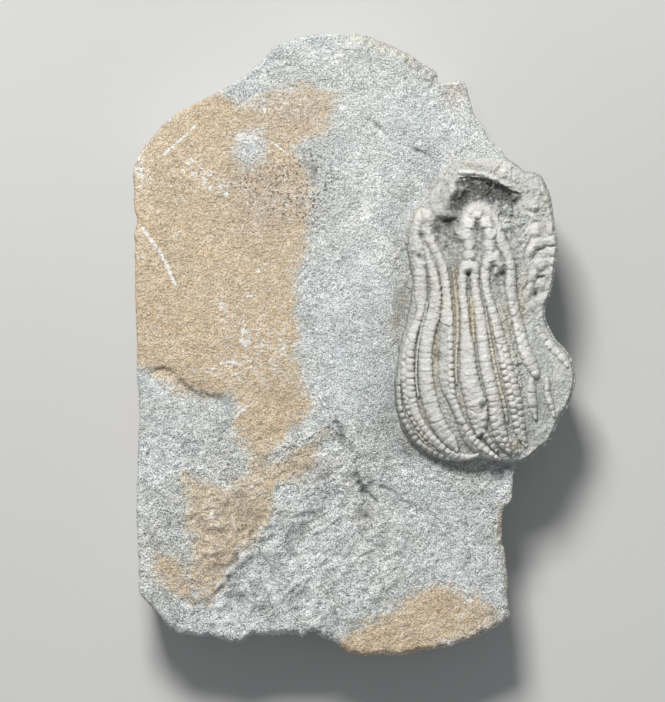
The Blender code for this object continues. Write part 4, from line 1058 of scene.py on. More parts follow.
# Arms and other runs: path of (u, v, half width), and how the plates look.
# relief: mm above the bed. per: plate length. deep: how far the beads are rounded, mm. soft: over how wide an
# edge. cut: depth of the fine suture. split, pair: where two alternating rows meet (-1 left edge, 1 right
# edge) and whether there are two rows.
ARMS = [
    dict(name="arm_left_edge", seed=1,
         path=[(398.6, 381, 1.8), (398.6, 388, 2.6), (398.7, 395, 3.0), (399, 402, 3.1), (400.6, 409.7, 3.2),
               (402.9, 416.7, 3.2), (406, 423.7, 3.2), (409.6, 430.1, 3.2), (413.6, 436.5, 3.2), (418.4, 441.8, 3.2),
               (424, 446.7, 3.2), (431, 451.2, 3.2), (438, 454.8, 3.0), (445, 457.6, 2.6), (452, 460, 2.0)],
         relief=[(390, 1.5), (445, 1.4), (460, 0.8)], per=6.6, deep=0.6, soft=2.6, cut=0.25, calc=0.75, tone=0.88,
         mild=0.95, notch=0.14),
    dict(name="arm_left_outer", seed=2,
         path=[(415.4, 233, 2.6), (416.8, 239, 4.8), (418, 247, 6.0), (419, 256, 6.0), (419.6, 268, 6.0),
               (420.6, 283, 6.0), (421.2, 297, 5.5), (421, 307, 4.6), (419.6, 315, 4.0), (416, 325, 4.4),
               (412.6, 334, 5.0), (410, 343, 5.8), (408.4, 352, 6.6), (407.7, 362, 7.2), (407.6, 374, 7.4),
               (408.4, 386, 7.5), (409.6, 396, 7.0), (412.6, 406, 6.0), (416.6, 416, 5.0), (422.6, 426, 4.6),
               (429.6, 435.6, 4.5), (437, 443.6, 4.7), (445, 450.4, 5.2), (454, 455.4, 5.4), (463, 458, 5.0),
               (471, 457.6, 4.0), (477, 455, 2.6)],
         relief=[(233, 1.7), (330, 1.7), (380, 1.9), (460, 1.6)],
         per=[(240, 11), (256, 9), (262, 7.6), (330, 7.2), (430, 6.6), (448, 5.2)],
         deep=[(240, 0.35), (300, 0.3), (330, 0.42), (400, 0.5), (446, 0.42), (457, 0.3)],
         soft=[(240, 2.6), (300, 2.0), (330, 2.6), (450, 2.4)], cut=[(240, 0.2), (300, 0.14), (335, 0.3), (450, 0.25)],
         split=[(300, 0.0), (335, -0.3), (351, -0.42), (366, -0.34), (396, -0.36), (412, -0.5)],
         pair=[(338, 0.0), (346, 1.0), (400, 1.0), (408, 0.0), (446, 0.0), (450, 1.0)]),
    dict(name="arm_left_middle", seed=3,
         path=[(425, 248, 2.0), (427.2, 255, 3.2), (429.8, 264, 3.9), (432.2, 272, 4.4), (434.2, 281, 4.7),
               (435.4, 290, 5.0), (435.2, 299, 5.6), (434.2, 307, 6.3), (432, 316, 7.0), (429.4, 326, 7.3),
               (427.2, 336, 7.3), (425.6, 347, 7.4), (424.8, 360, 7.6), (425, 374, 7.7), (426.8, 389, 8.0),
               (429.2, 400, 8.3), (432.6, 411, 8.5), (437, 421.6, 8.2), (442.6, 431.6, 8.0), (449.4, 440.6, 7.6),
               (454.6, 447.4, 4.4), (456.4, 450.6, 2.2)],
         relief=[(250, 1.6), (330, 1.8), (450, 2.0)], per=[(262, 8.0), (300, 6.2), (400, 6.4)],
         deep=[(262, 0.3), (300, 0.22), (340, 0.07), (395, 0.10), (412, 0.22), (440, 0.38)],
         soft=[(262, 2.2), (300, 1.6), (340, 1.5), (410, 2.0), (440, 2.6)],
         cut=[(262, 0.2), (300, 0.34), (335, 0.16), (345, 0.12), (400, 0.12), (425, 0.22)],
         split=[(285, 0.0), (315, -0.06), (335, -0.1)], pair=[(286, 0.0), (290, 1.0), (336, 1.0), (341, 0.0)]),
    dict(name="arm_left_inner", seed=4,
         path=[(424.2, 230.6, 2.4), (427.6, 236, 3.9), (431.6, 244, 4.3), (436, 253, 4.4), (440.2, 262, 4.3),
               (442.8, 271, 4.1), (444.6, 281, 4.2), (445.8, 291, 4.3), (446.5, 301, 4.6), (446.6, 311, 5.4),
               (446.3, 321, 6.2), (446, 332, 7.0), (445.8, 344, 7.8), (445.5, 356, 8.2), (445.5, 368, 8.4),
               (446.2, 380, 8.2), (448.6, 391, 6.8), (452, 400, 4.9), (455.2, 408, 4.5), (458.2, 415, 4.5),
               (460.8, 421.4, 5.0), (463, 427.6, 6.0), (466.4, 434, 7.0), (470.6, 440, 7.4), (476.4, 446, 7.0),
               (483, 450.6, 6.4), (489.6, 454.8, 5.4), (495.4, 458, 3.6), (499, 459.6, 2.0)],
         relief=[(240, 1.6), (300, 1.6), (360, 1.7), (440, 2.0)], per=[(240, 10), (262, 8.0), (320, 7.1), (440, 6.2)],
         deep=[(240, 0.26), (310, 0.24), (330, 0.4), (400, 0.5), (430, 0.45), (450, 0.36)],
         soft=[(240, 2.2), (330, 2.6), (450, 2.4)], cut=[(240, 0.16), (320, 0.24), (340, 0.3), (450, 0.25)],
         split=[(310, 0.1), (332, 0.16), (351, 0.2), (366, 0.24), (380, 0.2), (392, 0.0), (420, -0.2)],
         pair=[(318, 0.0), (326, 1.0), (392, 1.0), (397, 0.0), (422, 0.0), (428, 1.0)],
         # The left row is set lower and greyer, and its darker tone is painted shade on the arm's shaded left side.
         left_tone=0.92, left_calc=0.5, left_drop=0.34, left_quiet=0.25),
    dict(name="arm_centre_left", seed=5,
         path=[(462.2, 269, 3.4), (461.8, 277, 4.2), (461.8, 288, 4.4), (462.2, 300, 4.0), (463.6, 311, 4.2),
               (464.3, 321, 4.4), (464.8, 332, 5.2), (465.8, 341, 6.8), (466.4, 350, 8.0), (467, 362, 8.6),
               (468, 375, 9.7), (470.6, 388, 10.4), (474, 399, 11.0), (476.4, 409, 10.8), (478, 418, 9.8),
               (478.6, 425, 8.4), (478.4, 430, 5.8), (477.6, 434, 3.0)],
         relief=[(275, 1.5), (330, 1.7), (370, 2.1), (420, 2.1)], per=[(275, 7.6), (330, 6.6), (400, 6.2)],
         deep=[(275, 0.34), (330, 0.16), (350, 0.02), (395, 0.02), (410, 0.22), (430, 0.4)],
         soft=[(275, 2.4), (340, 1.4), (400, 1.6), (425, 2.6)], cut=[(275, 0.2), (340, 0.08), (360, 0.02), (395, 0.03),
                                                                    (412, 0.2)],
         split=[(405, 0.0), (412, -0.15)], pair=[(408, 0.0), (413, 1.0)]),
    dict(name="arm_centre", seed=6,
         path=[(473.4, 268, 3.0), (473.6, 275, 3.9), (474, 284, 4.0), (475.2, 295, 4.3), (477.4, 306, 4.7),
               (479, 316, 5.2), (480.6, 328, 5.8), (481.8, 340, 6.2), (483.2, 352, 6.7), (485, 364, 6.9),
               (487.2, 375, 7.0), (490, 386, 7.0), (493, 398, 7.0), (495, 409, 7.4), (496.4, 420, 7.8),
               (498.4, 430, 7.6), (501.4, 439, 7.0), (505, 445.6, 5.6), (508.6, 450.4, 3.2)],
         relief=[(275, 1.5), (330, 1.8), (420, 2.0)], per=[(275, 7.6), (330, 6.6), (400, 6.8)],
         deep=[(275, 0.3), (330, 0.16), (370, 0.08), (395, 0.18), (410, 0.3), (440, 0.46)],
         soft=[(275, 2.2), (350, 1.6), (400, 2.4), (430, 2.6)], cut=[(275, 0.2), (350, 0.12), (380, 0.2), (420, 0.25)],
         split=[(385, 0.1), (445, 0.0)], pair=[(409, 0.0), (414, 1.0)]),
    dict(name="arm_centre_right", seed=7,
         path=[(484.6, 262, 2.4), (484.4, 268, 4.1), (484.3, 276, 4.4), (484.8, 284, 3.8), (486.4, 292, 3.9),
               (488.6, 301, 4.1), (491.6, 311, 4.4), (494.8, 322, 4.8), (498, 334, 5.5), (501.2, 346, 6.1),
               (504, 358, 6.6), (506.8, 369, 7.0), (509.4, 380, 7.5), (512, 390, 7.6), (514.4, 400, 7.5),
               (516.4, 411, 7.4), (518.2, 421, 7.2), (519.8, 430, 6.6), (522.2, 438, 5.0), (525, 445, 2.8)],
         relief=[(270, 1.4), (330, 1.6), (420, 1.8)], per=[(270, 7.4), (300, 6.4), (390, 6.8)],
         deep=[(270, 0.36), (300, 0.26), (345, 0.36), (380, 0.5), (430, 0.5)],
         soft=[(270, 2.4), (330, 2.2), (380, 2.6)], cut=[(270, 0.2), (340, 0.26), (380, 0.32)],
         split=[(330, 0.0), (380, 0.0), (420, 0.04)], pair=[(340, 0.0), (346, 1.0)]),
    dict(name="arm_broken_stub", seed=8,
         path=[(495.8, 258, 3.0), (496.2, 263, 4.0), (496.4, 268, 3.8), (495.2, 273, 2.2)],
         relief=1.2, per=7, deep=0.2, soft=2, cut=0.15, tone=0.95),
    dict(name="arm_right", seed=9,
         loose=0.05,
         path=[(495.6, 226, 3.4), (498, 234, 4.6), (501, 242, 5.2), (504.4, 249.6, 5.2), (507.6, 257, 4.9),
               (509.8, 265, 4.6), (510.4, 274, 4.8), (510.2, 284, 5.2), (511, 294, 5.0), (513, 304, 4.7),
               (515.4, 315, 4.8), (518, 326, 5.4), (520.6, 337, 6.2), (523.8, 348, 7.0), (527.2, 357, 7.3),
               (530.4, 364, 7.2), (533.4, 370, 6.4), (535, 373.6, 5.2)],
         relief=[(232, 1.3), (245, 1.9), (300, 1.9), (340, 2.2), (370, 2.4)], per=[(240, 11), (280, 7.6), (340, 7.2)],
         deep=[(235, 0.12), (270, 0.24), (300, 0.3), (360, 0.36)], soft=[(240, 2.6), (320, 2.4), (360, 2.6)],
         cut=[(235, 0.06), (270, 0.14), (310, 0.22), (350, 0.16)],
         split=[(300, 0.1), (340, 0.05)], pair=[(296, 0.0), (302, 1.0), (344, 1.0), (352, 0.0)]),
    dict(name="arm_right_buried", seed=10,
         path=[(531, 380, 3.6), (530.8, 388, 5.4), (531.2, 397, 5.8), (532.2, 405, 5.4), (533.6, 412, 4.2),
               (535, 418, 2.4)],
         relief=2.0, per=7.6, deep=0.3, soft=2.2, cut=0.16, tone=1.0, calc=0.7),
    dict(name="arm_far_right", seed=11,
         path=[(546.4, 380, 3.0), (546.8, 388, 3.7), (547.6, 396, 3.9), (549.8, 403, 4.0), (552, 410, 3.5),
               (553.6, 416, 2.4)],
         relief=2.05, per=6.8, deep=0.5, soft=2.4, cut=0.25, tone=1.03, calc=0.85),
    dict(name="arm_lobe_edge", seed=12,
         path=[(537, 328, 2.4), (541.6, 335.6, 4.2), (547, 342.6, 5.0), (553, 349, 5.2), (558.6, 354.6, 5.0),
               (563.6, 360.6, 4.2), (566.6, 366, 2.6)],
         relief=1.65, per=9.5, deep=0.5, soft=2.6, cut=0.1, tone=1.08, calc=0.8, mild=0.9, notch=0.12),
]

# Thin covering strips and rows of small beads between the arms; they lie in the matrix, so they have no
# node of their own.
FILLS = [
    dict(name="strip_left", seed=21,
         path=[(427.6, 303, 1.0), (425, 314, 1.3), (421.8, 326, 1.5), (418.8, 340, 1.6), (416.8, 354, 1.5),
               (416, 368, 1.4), (416.2, 382, 1.3), (418, 396, 1.2)],
         relief=1.5, per=3.2, deep=0.03, soft=1.2, cut=0.03, calc=0.7, tone=0.90, widen=True),
    dict(name="strip_left_inner", seed=22,
         path=[(452, 268, 1.3), (453.4, 276, 2.0), (454.6, 286, 2.5), (455.8, 298, 2.5), (456.8, 311, 2.3),
               (457, 324, 2.2), (456.8, 336, 2.0), (456, 348, 1.8), (455.4, 360, 1.7), (455.4, 372, 1.5), (456, 384, 1.2)],
         relief=1.2, per=2.8, deep=0.12, soft=1.0, cut=0.16, calc=0.7, ochre=0.34, tone=0.96, pair=1.0, split=0.0),
    dict(name="strip_centre", seed=23,
         path=[(470.6, 298, 1.8), (471, 306, 2.4), (471.5, 316, 2.6), (472, 326, 2.4), (472.6, 335, 1.9),
               (473.4, 343, 1.0)],
         relief=1.15, per=2.8, deep=0.12, soft=1.0, cut=0.14, calc=0.8, ochre=0.5, tone=1.0, pair=1.0, split=0.0),
    dict(name="strip_right_inner", seed=24,
         path=[(484.2, 305, 1.0), (486, 318, 1.5), (488.4, 334, 1.9), (490.8, 348, 2.1), (493, 362, 2.2),
               (495.8, 375, 2.3), (498.8, 387, 2.3), (502, 399, 2.4), (504.6, 410, 2.4), (506.4, 420, 1.8)],
         relief=[(305, 1.0), (400, 1.3)], per=4.4, deep=0.2, soft=1.6, cut=0.10, calc=0.5, ochre=0.24, tone=0.90, mild=0.8),
    dict(name="strip_far", seed=28,
         path=[(498.6, 307, 3.6), (502.4, 319, 3.9), (505.6, 331, 3.8), (508.6, 343, 3.6), (512, 355, 3.6),
               (515.2, 367, 3.4), (518.4, 379, 2.6), (521, 389, 1.4)],
         relief=0.95, per=3.4, deep=0.22, soft=1.2, cut=0.14, calc=0.35, ochre=0.2, tone=0.94, pair=1.0, split=0.0),
    dict(name="beads_lower_centre", seed=25,
         path=[(481.4, 429, 2.4), (484.2, 434, 3.9), (487.4, 439, 3.6), (491, 444.6, 3.2), (495.4, 450, 2.6)],
         relief=1.7, per=6.2, deep=0.6, soft=2.4, cut=0.2, calc=0.5, tone=0.92, mild=1.0, notch=0.2),
    dict(name="beads_small_left", seed=26,
         path=[(403.6, 384, 2.2), (404, 392, 2.5), (405, 400, 2.6), (407.4, 408, 2.6), (410.6, 416, 2.6),
               (414.8, 424, 2.7), (419.8, 431, 2.7), (425.6, 437.6, 2.6), (431.6, 443.4, 2.3)],
         relief=1.45, per=6.0, deep=0.5, soft=2.3, cut=0.1, calc=0.75, ochre=0.06, tone=0.93, mild=1.0),
    dict(name="fragments_left", seed=29,
         path=[(404.6, 411, 1.6), (407.8, 419, 2.2), (412, 426.6, 2.4), (417, 433.4, 2.4), (422.6, 439.4, 2.4),
               (429, 444.8, 2.2), (436, 449.6, 1.6)],
         relief=0.95, per=5.4, deep=0.2, soft=1.9, cut=0.04, calc=0.4, ochre=0.22, tone=0.86, mild=0.8),
    dict(name="row_right_lower", seed=30,
         path=[(527, 386, 1.6), (526.6, 396, 1.9), (527.4, 406, 1.9), (529.4, 416, 1.6)],
         relief=0.9, per=5, deep=0.2, soft=1.6, cut=0.1, calc=0.4, tone=0.92),
]

# Plates of the cup and the forks: rounded lumps that run together, as (u, v, reaches, turn, height in mm,
# tone), and the joints and cracks across them. With a ring the lumps stand on a level bed inside it.
CUP = [
    dict(name="cup_floor_plates",
         ring=[(459.5, 178.5), (470, 178), (481, 179), (490, 181), (500, 185.6), (508, 190), (516, 192), (521, 197),
               (524, 208), (529, 220), (525, 232), (516, 240), (508, 246), (502, 241), (501, 231), (497, 219), (490, 211),
               (482, 205), (472, 202.6), (464, 208), (459, 206), (460, 196), (458, 186)],
         level=0.35, rough=2.0, calc=0.4, tone=0.9,
         lumps=[(463.5, 188, 5, 6, 10, 0.6, 1.0), (473, 184.5, 6, 3.5, 0, 0.15, 0.86), (482, 190.6, 6, 5, -10, 0.45, 0.88),
                (468, 200, 5, 3.6, -20, 0.5, 0.92), (478, 197, 5, 4, 0, 0.45, 0.95), (489, 202.6, 6, 4.6, 10, 1.0, 1.02),
                (498, 208, 5.6, 5, 20, 1.15, 1.07), (507, 208.6, 6, 6, 0, 1.3, 1.1), (512, 198, 4, 3, 0, 0.4, 0.9),
                (516, 212, 4, 6, 0, 0.85, 1.04), (505, 225, 6, 7, 10, 0.75, 1.06), (515.6, 225, 4.6, 6, 0, 0.7, 1.02),
                (509, 238.6, 5, 4, 0, 0.2, 0.97), (522, 213, 4, 7, 0, 0.4, 0.98), (463, 198, 3.5, 4, 0, -0.3, 0.8)],
         cracks=[([(496.4, 213), (500, 208), (505, 203.6)], 1.0), ([(511, 203), (513, 212), (510, 220)], 1.0),
                 ([(499, 217), (506, 217.6), (513, 218.6)], 0.8), ([(485, 198), (493, 197.6), (501, 202)], 0.9), ([(516, 204), (519, 212), (517, 222)], 0.7)]),
    dict(name="first_centre_plate",
         ring=[(462.6, 219.4), (464.6, 212.6), (469.6, 206), (476, 202.8), (483, 203), (489.4, 207), (495, 213),
               (499.6, 221), (501.4, 230), (498.4, 234), (494, 226), (489, 219), (484, 217), (478, 220.6), (472, 217.4),
               (466, 220.4)],
         level=0.75, rough=0.4, calc=0.95, tone=1.0,
         lumps=[(466, 214.6, 6, 5, -40, 0.85, 1.03), (473, 209.6, 7, 5.6, -15, 0.95, 1.05), (481, 208.6, 7, 5.4, 15, 0.95, 1.03),
                (489, 213, 6.5, 5.6, 40, 0.9, 1.0), (495, 220, 5.4, 6.6, 15, 0.85, 0.98), (499, 228.4, 4.6, 6, 20, 0.85, 1.0)],
         cracks=[([(463, 214), (467, 213), (471, 216)], 0.5), ([(490, 210), (492, 214), (491, 219)], 0.5)]),
    dict(name="cup_wall_left",
         ring=[(446, 179), (455, 177.6), (459.6, 182), (459.6, 192), (455.6, 199), (452, 205), (459, 208), (461, 215),
               (455, 220.6), (446, 223), (438, 222.6), (432.6, 218), (430, 210), (428, 200), (429, 192), (436, 185)],
         level=0.55, rough=1.2, calc=0.6, tone=0.89,
         lumps=[(436, 196, 6, 10, 15, 0.95, 0.99), (440, 211, 9, 7, 10, 1.25, 0.97), (453, 190, 4.4, 7, 0, 1.35, 1.10),
                (447, 203, 4, 8, 10, 0.49, 0.93), (433, 208, 4, 9, 0, 0.63, 0.99), (454.6, 213.6, 4.6, 5, 0, 0.7, 0.92),
                (448, 215, 6, 4.6, -10, 1.05, 0.96), (450, 181, 7, 3, 0, 0.42, 0.94)],
         cracks=[([(449, 186), (448, 196), (445, 204), (447, 212)], 0.3), ([(441, 190), (440, 200), (442, 208)], 0.2),
                 ([(458, 208), (452, 208), (449, 212)], 0.4)]),
    dict(name="cup_wall_right",
         ring=[(521.4, 176), (528, 171), (536, 173), (543, 180), (548.4, 190), (551.6, 201), (553.4, 213), (553.6, 223),
               (546, 225.6), (540, 221), (534, 218), (528, 214.4), (521.6, 212), (519.4, 204), (521, 194), (523, 186)],
         level=0.55, rough=1.5, calc=0.6, tone=0.97,
         lumps=[(525, 181, 4, 9, 0, 0.42, 0.96), (531, 188, 3, 8, -8, 0.56, 0.99), (537, 190, 3, 9, -10, 0.63, 1.01),
                (543.6, 192, 3, 10, -12, 0.56, 1.0), (548, 205, 4, 10, -8, 0.35, 0.96), (533, 206, 5.4, 5.4, 15, 1.3, 1.1),
                (526, 203, 3.6, 6, 0, 0.56, 1.0), (540.6, 209, 5, 6, 10, 0.49, 0.98), (548.6, 217, 4, 6, 0, 0.35, 0.96),
                (533, 214.6, 5, 3, 20, 0.49, 1.03)],
         cracks=[([(527.4, 211.4), (533, 213.6), (540, 218.4)], 0.5), ([(529, 176), (531.6, 186), (534, 197)], 0.3),
                 ([(536, 178), (539.6, 190), (544, 203)], 0.3), ([(541.6, 186), (545, 196), (549, 207)], 0.25)]),
    dict(name="cup_rim",
         ring=[(449, 178), (450.6, 168), (457, 161.6), (466, 158.4), (480, 157.4), (495, 157.6), (506, 160), (512.6, 164),
               (519, 171), (522.4, 180), (521, 190), (513, 190), (506, 187.4), (500, 184.2), (494, 181.2), (488, 179.2),
               (481, 177.6), (466, 176.4), (458, 177), (454, 179.6)],
         level=0.5, rough=1.7, calc=0.7, tone=0.93,
         lumps=[(467, 172.6, 9, 3.0, 2, 1.15, 1.2), (484, 175.6, 7, 3, 18, 1.1, 1.14), (494, 179.2, 7, 3.2, 25, 1.05, 1.12),
                (505, 184.6, 7, 3, 30, 0.84, 1.04), (514, 187.6, 6, 3, 20, 0.49, 0.99), (460, 166, 8, 4, -20, 0.35, 0.95),
                (475, 165, 8, 4, 0, 0.35, 0.97), (490, 167, 9, 6, 5, 0.95, 1.12), (503, 173, 6, 7, 30, 0.85, 1.08),
                (512, 178, 5, 6, 20, 0.49, 0.99), (519, 184, 4, 5, 0, 0.35, 0.97), (480, 159, 16, 2.4, 0, 0.28, 1.04),
                (500, 163, 8, 4, 10, 0.35, 1.03)],
         cracks=[([(479, 166), (481, 172), (479, 177)], 0.2), ([(499, 166), (497, 173), (499, 180)], 0.2),
                 ([(508, 171), (511, 178), (509, 184)], 0.25), ([(452, 170), (462, 170.6), (474, 169.6), (482, 170)], 0.2)]),
    dict(name="arm_margin_inner",
         ring=[(529.6, 224), (536, 220.6), (544, 222), (546.6, 232), (546.6, 244), (547, 256), (548.6, 266), (549.6, 276),
               (551.4, 286), (551.6, 297), (547.6, 304.6), (542.4, 311.4), (537, 317), (531, 313), (527, 306.6),
               (521.6, 300), (520.6, 290), (526, 284), (527, 274), (525, 265), (522.4, 258), (524.6, 249), (527, 243),
               (529.6, 237), (527.6, 231)],
         level=0.45, rough=0.7, calc=0.8, tone=0.96,
         lumps=[(534.4, 230.6, 5.8, 6.6, 0, 0.95, 1.07), (538.4, 243, 6.6, 4.4, -5, 0.85, 1.06), (530.4, 250.6, 3.6, 6, 30, 0.9, 1.07),
                (546, 241, 4, 4, 0, 0.6, 1.03), (543, 254, 5, 4, -15, 0.4, 1.0), (539.4, 265, 6, 5.4, 0, 0.85, 1.04),
                (546, 262, 4, 4, 0, 0.5, 1.01), (532.6, 276.6, 3.6, 6.6, 25, 0.9, 1.08), (530, 288, 3, 5, 10, 0.55, 1.0),
                (541, 284.6, 5, 4.4, 0, 0.45, 0.95), (544, 299, 5, 7, 35, 0.8, 1.06), (527, 296, 3.6, 5, 0, 0.35, 0.95),
                (532, 306, 5, 4.6, 0, 0.45, 0.98), (538, 311, 4, 4, 0, 0.3, 0.95), (546, 274, 4, 4, 0, 0.5, 1.0),
                (547, 288, 3.5, 4, 0, 0.4, 0.98)],
         cracks=[([(548, 246.9), (545.7, 247), (538, 251.4), (531.4, 259.3), (527.9, 263.6)], 1.0),
                 ([(549, 236.6), (547, 237), (541, 238)], 0.7), ([(537, 278.6), (540, 278), (545, 276)], 0.8),
                 ([(549.3, 289.3), (543, 291.6), (538, 294)], 0.8), ([(529, 237), (535, 237.4), (541, 236)], 0.3),
                 ([(535, 270), (540, 271.6), (546, 270)], 0.35)]),
    dict(name="arm_margin_outer",
         ring=[(547.4, 224), (552, 221.6), (556.6, 226), (557.4, 240), (557.4, 256), (556, 270), (553.6, 284), (550.6, 288),
               (550.4, 276), (549, 264), (547.6, 252), (547.2, 238)],
         level=0.7, rough=0.6, calc=0.85, tone=1.0,
         lumps=[(552, 229, 5, 5, 0, 0.6, 1.02), (552.6, 241, 5.4, 4.4, 0, 0.85, 1.07), (552.4, 252, 5, 4.6, 0, 0.8, 1.05),
                (552, 262.4, 4.6, 4, 0, 0.7, 1.03), (551.6, 271, 4, 3.4, 0, 0.6, 1.0), (551, 278.6, 3.6, 2.8, 0, 0.55, 1.02)],
         cracks=[([(545, 247), (551, 246.6), (558, 246.4)], 0.9), ([(545, 237), (551, 235.4), (558, 234.6)], 0.8),
                 ([(547, 257.4), (552, 257), (557, 256)], 0.4), ([(547, 267), (552, 267), (556, 266)], 0.4),
                 ([(547, 275), (555, 274.6)], 0.5)]),
    dict(name="fork_plates_left", level=0.2, rough=0.4, calc=1.0, tone=1.01,
         lumps=[(424, 215.4, 8, 5.6, -20, 1.9, 1.02), (417.6, 222, 5.6, 6.4, 0, 1.9, 1.03), (428.4, 222.4, 5.2, 6.2, -15, 1.75, 1.0),
                (416.4, 231, 4.6, 5.4, 0, 1.7, 1.0), (426, 231, 4.4, 5.2, -20, 1.6, 1.0),
                (430.4, 217.6, 4.6, 5, -10, 1.7, 0.99), (430.4, 238, 4.0, 5, -25, 1.5, 1.0), (416, 240, 4.6, 5.4, 0, 1.6, 1.0)],
         cracks=[([(410, 227), (416, 226.4), (422, 228)], 0.9), ([(422.6, 227.6), (428, 227.8), (434, 226)], 0.8),
                 ([(419.6, 209), (421.6, 215), (423.6, 222)], 0.8), ([(411, 236), (416, 235.6), (421, 236.4)], 0.7)]),
    dict(name="fork_plates_centre_left", level=0.2, rough=0.4, calc=1.0, tone=1.04,
         lumps=[(477, 215.4, 5.4, 4.4, 0, 1.95, 1.02), (467.6, 223.6, 7.2, 6.6, 15, 2.1, 1.03), (465.4, 234.6, 7.2, 6.2, 0, 2.1, 1.03), (469, 245, 5.2, 5.8, 0, 1.95, 1.02),
                (468.8, 255.5, 5.6, 5.8, 0, 2.0, 1.02), (468.2, 266.2, 8.4, 4.6, 0, 2.0, 1.02),
                (462.4, 271.6, 3.6, 3.6, 0, 1.6, 1.0), (475, 271.6, 3.4, 3.6, 0, 1.6, 1.0)],
         cracks=[([(459, 230.8), (466, 229), (474, 231.6)], 1.3), ([(458.6, 241), (466, 240), (474, 240.8)], 0.8),
                 ([(463, 250), (468, 250.6), (475, 250.2)], 0.8), ([(462, 261.4), (469, 260.4), (476, 261.6)], 0.9),
                 ([(463.6, 216), (470, 217.4), (477, 221.4)], 1.0), ([(477, 221.4), (482, 219.2), (487, 216)], 1.0)]),
    dict(name="fork_plates_centre_right", level=0.2, rough=0.4, calc=1.0, tone=1.04,
         lumps=[(485.6, 223.6, 6.6, 6.4, -15, 2.1, 1.03), (490.4, 234, 6.4, 6.4, 0, 2.1, 1.03), (489, 246, 5.8, 6.2, 0, 1.95, 1.02),
                (491.6, 257.6, 7.0, 6.0, 0, 2.1, 1.03), (485.8, 265.6, 4.2, 4.6, 0, 1.7, 1.0), (498, 264.6, 3.6, 4.6, -20, 1.6, 0.98)],
         cracks=[([(479, 230.8), (487, 228.6), (495, 229.2)], 1.3), ([(483, 239.6), (490, 241), (498, 238.6)], 0.9),
                 ([(483, 251.4), (489, 251), (496, 252)], 0.8), ([(485, 262.4), (491, 263.4), (498, 261.6)], 0.9)]),
]

RIM_EDGE = [(455, 178), (460, 177), (466, 176.8), (474, 177), (481, 178), (488, 179.4), (494, 181.4), (500, 184.2),
            (506, 187.6), (512, 190.2), (519, 191.6)]

# Lumps and pits of the rough matrix: centre, reaches, turn, height in mm.
LUMPS = [
    (518, 238, 5, 4, 20, 0.5),
    (524, 232, 3, 5, 0, 0.5), (444, 240, 4, 6, -30, 0.4), (453, 256, 4, 6, 0, 0.5), (447, 250, 5, 3, 30, -0.6),
    (457, 241, 2.4, 7, -36, -1.2), (452, 249, 3, 3, 0, -0.6), (478, 245, 4, 9, 0, -0.7), (481, 236, 3, 4, 0, -0.3),
    (476.5, 227, 2, 5, 0, -1.1), (467.6, 274.4, 1.7, 2.4, 0, -1.0), (493.4, 267, 3, 1.4, 0, -0.5),
    (502.6, 274, 2.2, 2.2, 0, -1.0), (499, 281, 4.5, 9, -10, -0.8), (419, 257, 3.8, 2.2, 20, -1.2),
    (420.4, 235.6, 2.8, 2.2, 0, -0.9), (437.6, 357, 3, 5, -20, -1.0), (435.4, 343, 1.6, 14, 3, -0.5),
    (482.4, 407, 2.8, 4, 0, -1.4), (517.4, 365.6, 4, 1.6, -10, -0.9), (535.4, 293.6, 1.8, 3, 15, -1.4),
    (540, 277, 4.0, 1.2, -8, -0.8), (466, 370, 2.4, 2.0, 0, -0.35),
    (550, 246, 6, 0.8, 2, -0.6), (539, 249.6, 6, 0.8, -24, -0.7),
    (513, 446, 7, 6, 0, 0.9), (508, 441, 3, 3, 0, 0.3), (519, 451, 5, 3, -20, 0.4), (448, 404, 7, 16, -12, -0.35),
    (455, 446, 2.2, 2.2, 0, 0.3), (522, 300, 5, 9, 0, 0.3), (486, 461, 12, 2.0, 6, -0.5), (530, 440, 9, 5, -35, -0.3),
    (541, 432, 10, 3, -42, 0.4), (527, 455, 8, 2.4, -35, 0.5), (556, 412, 3, 8, 20, 0.3), (540, 405, 3, 8, 10, -0.3),
    (560, 378, 6, 10, 0, 0.3), (550, 365, 4, 8, -30, -0.25), (541, 350, 3, 8, -30, -0.3),
]
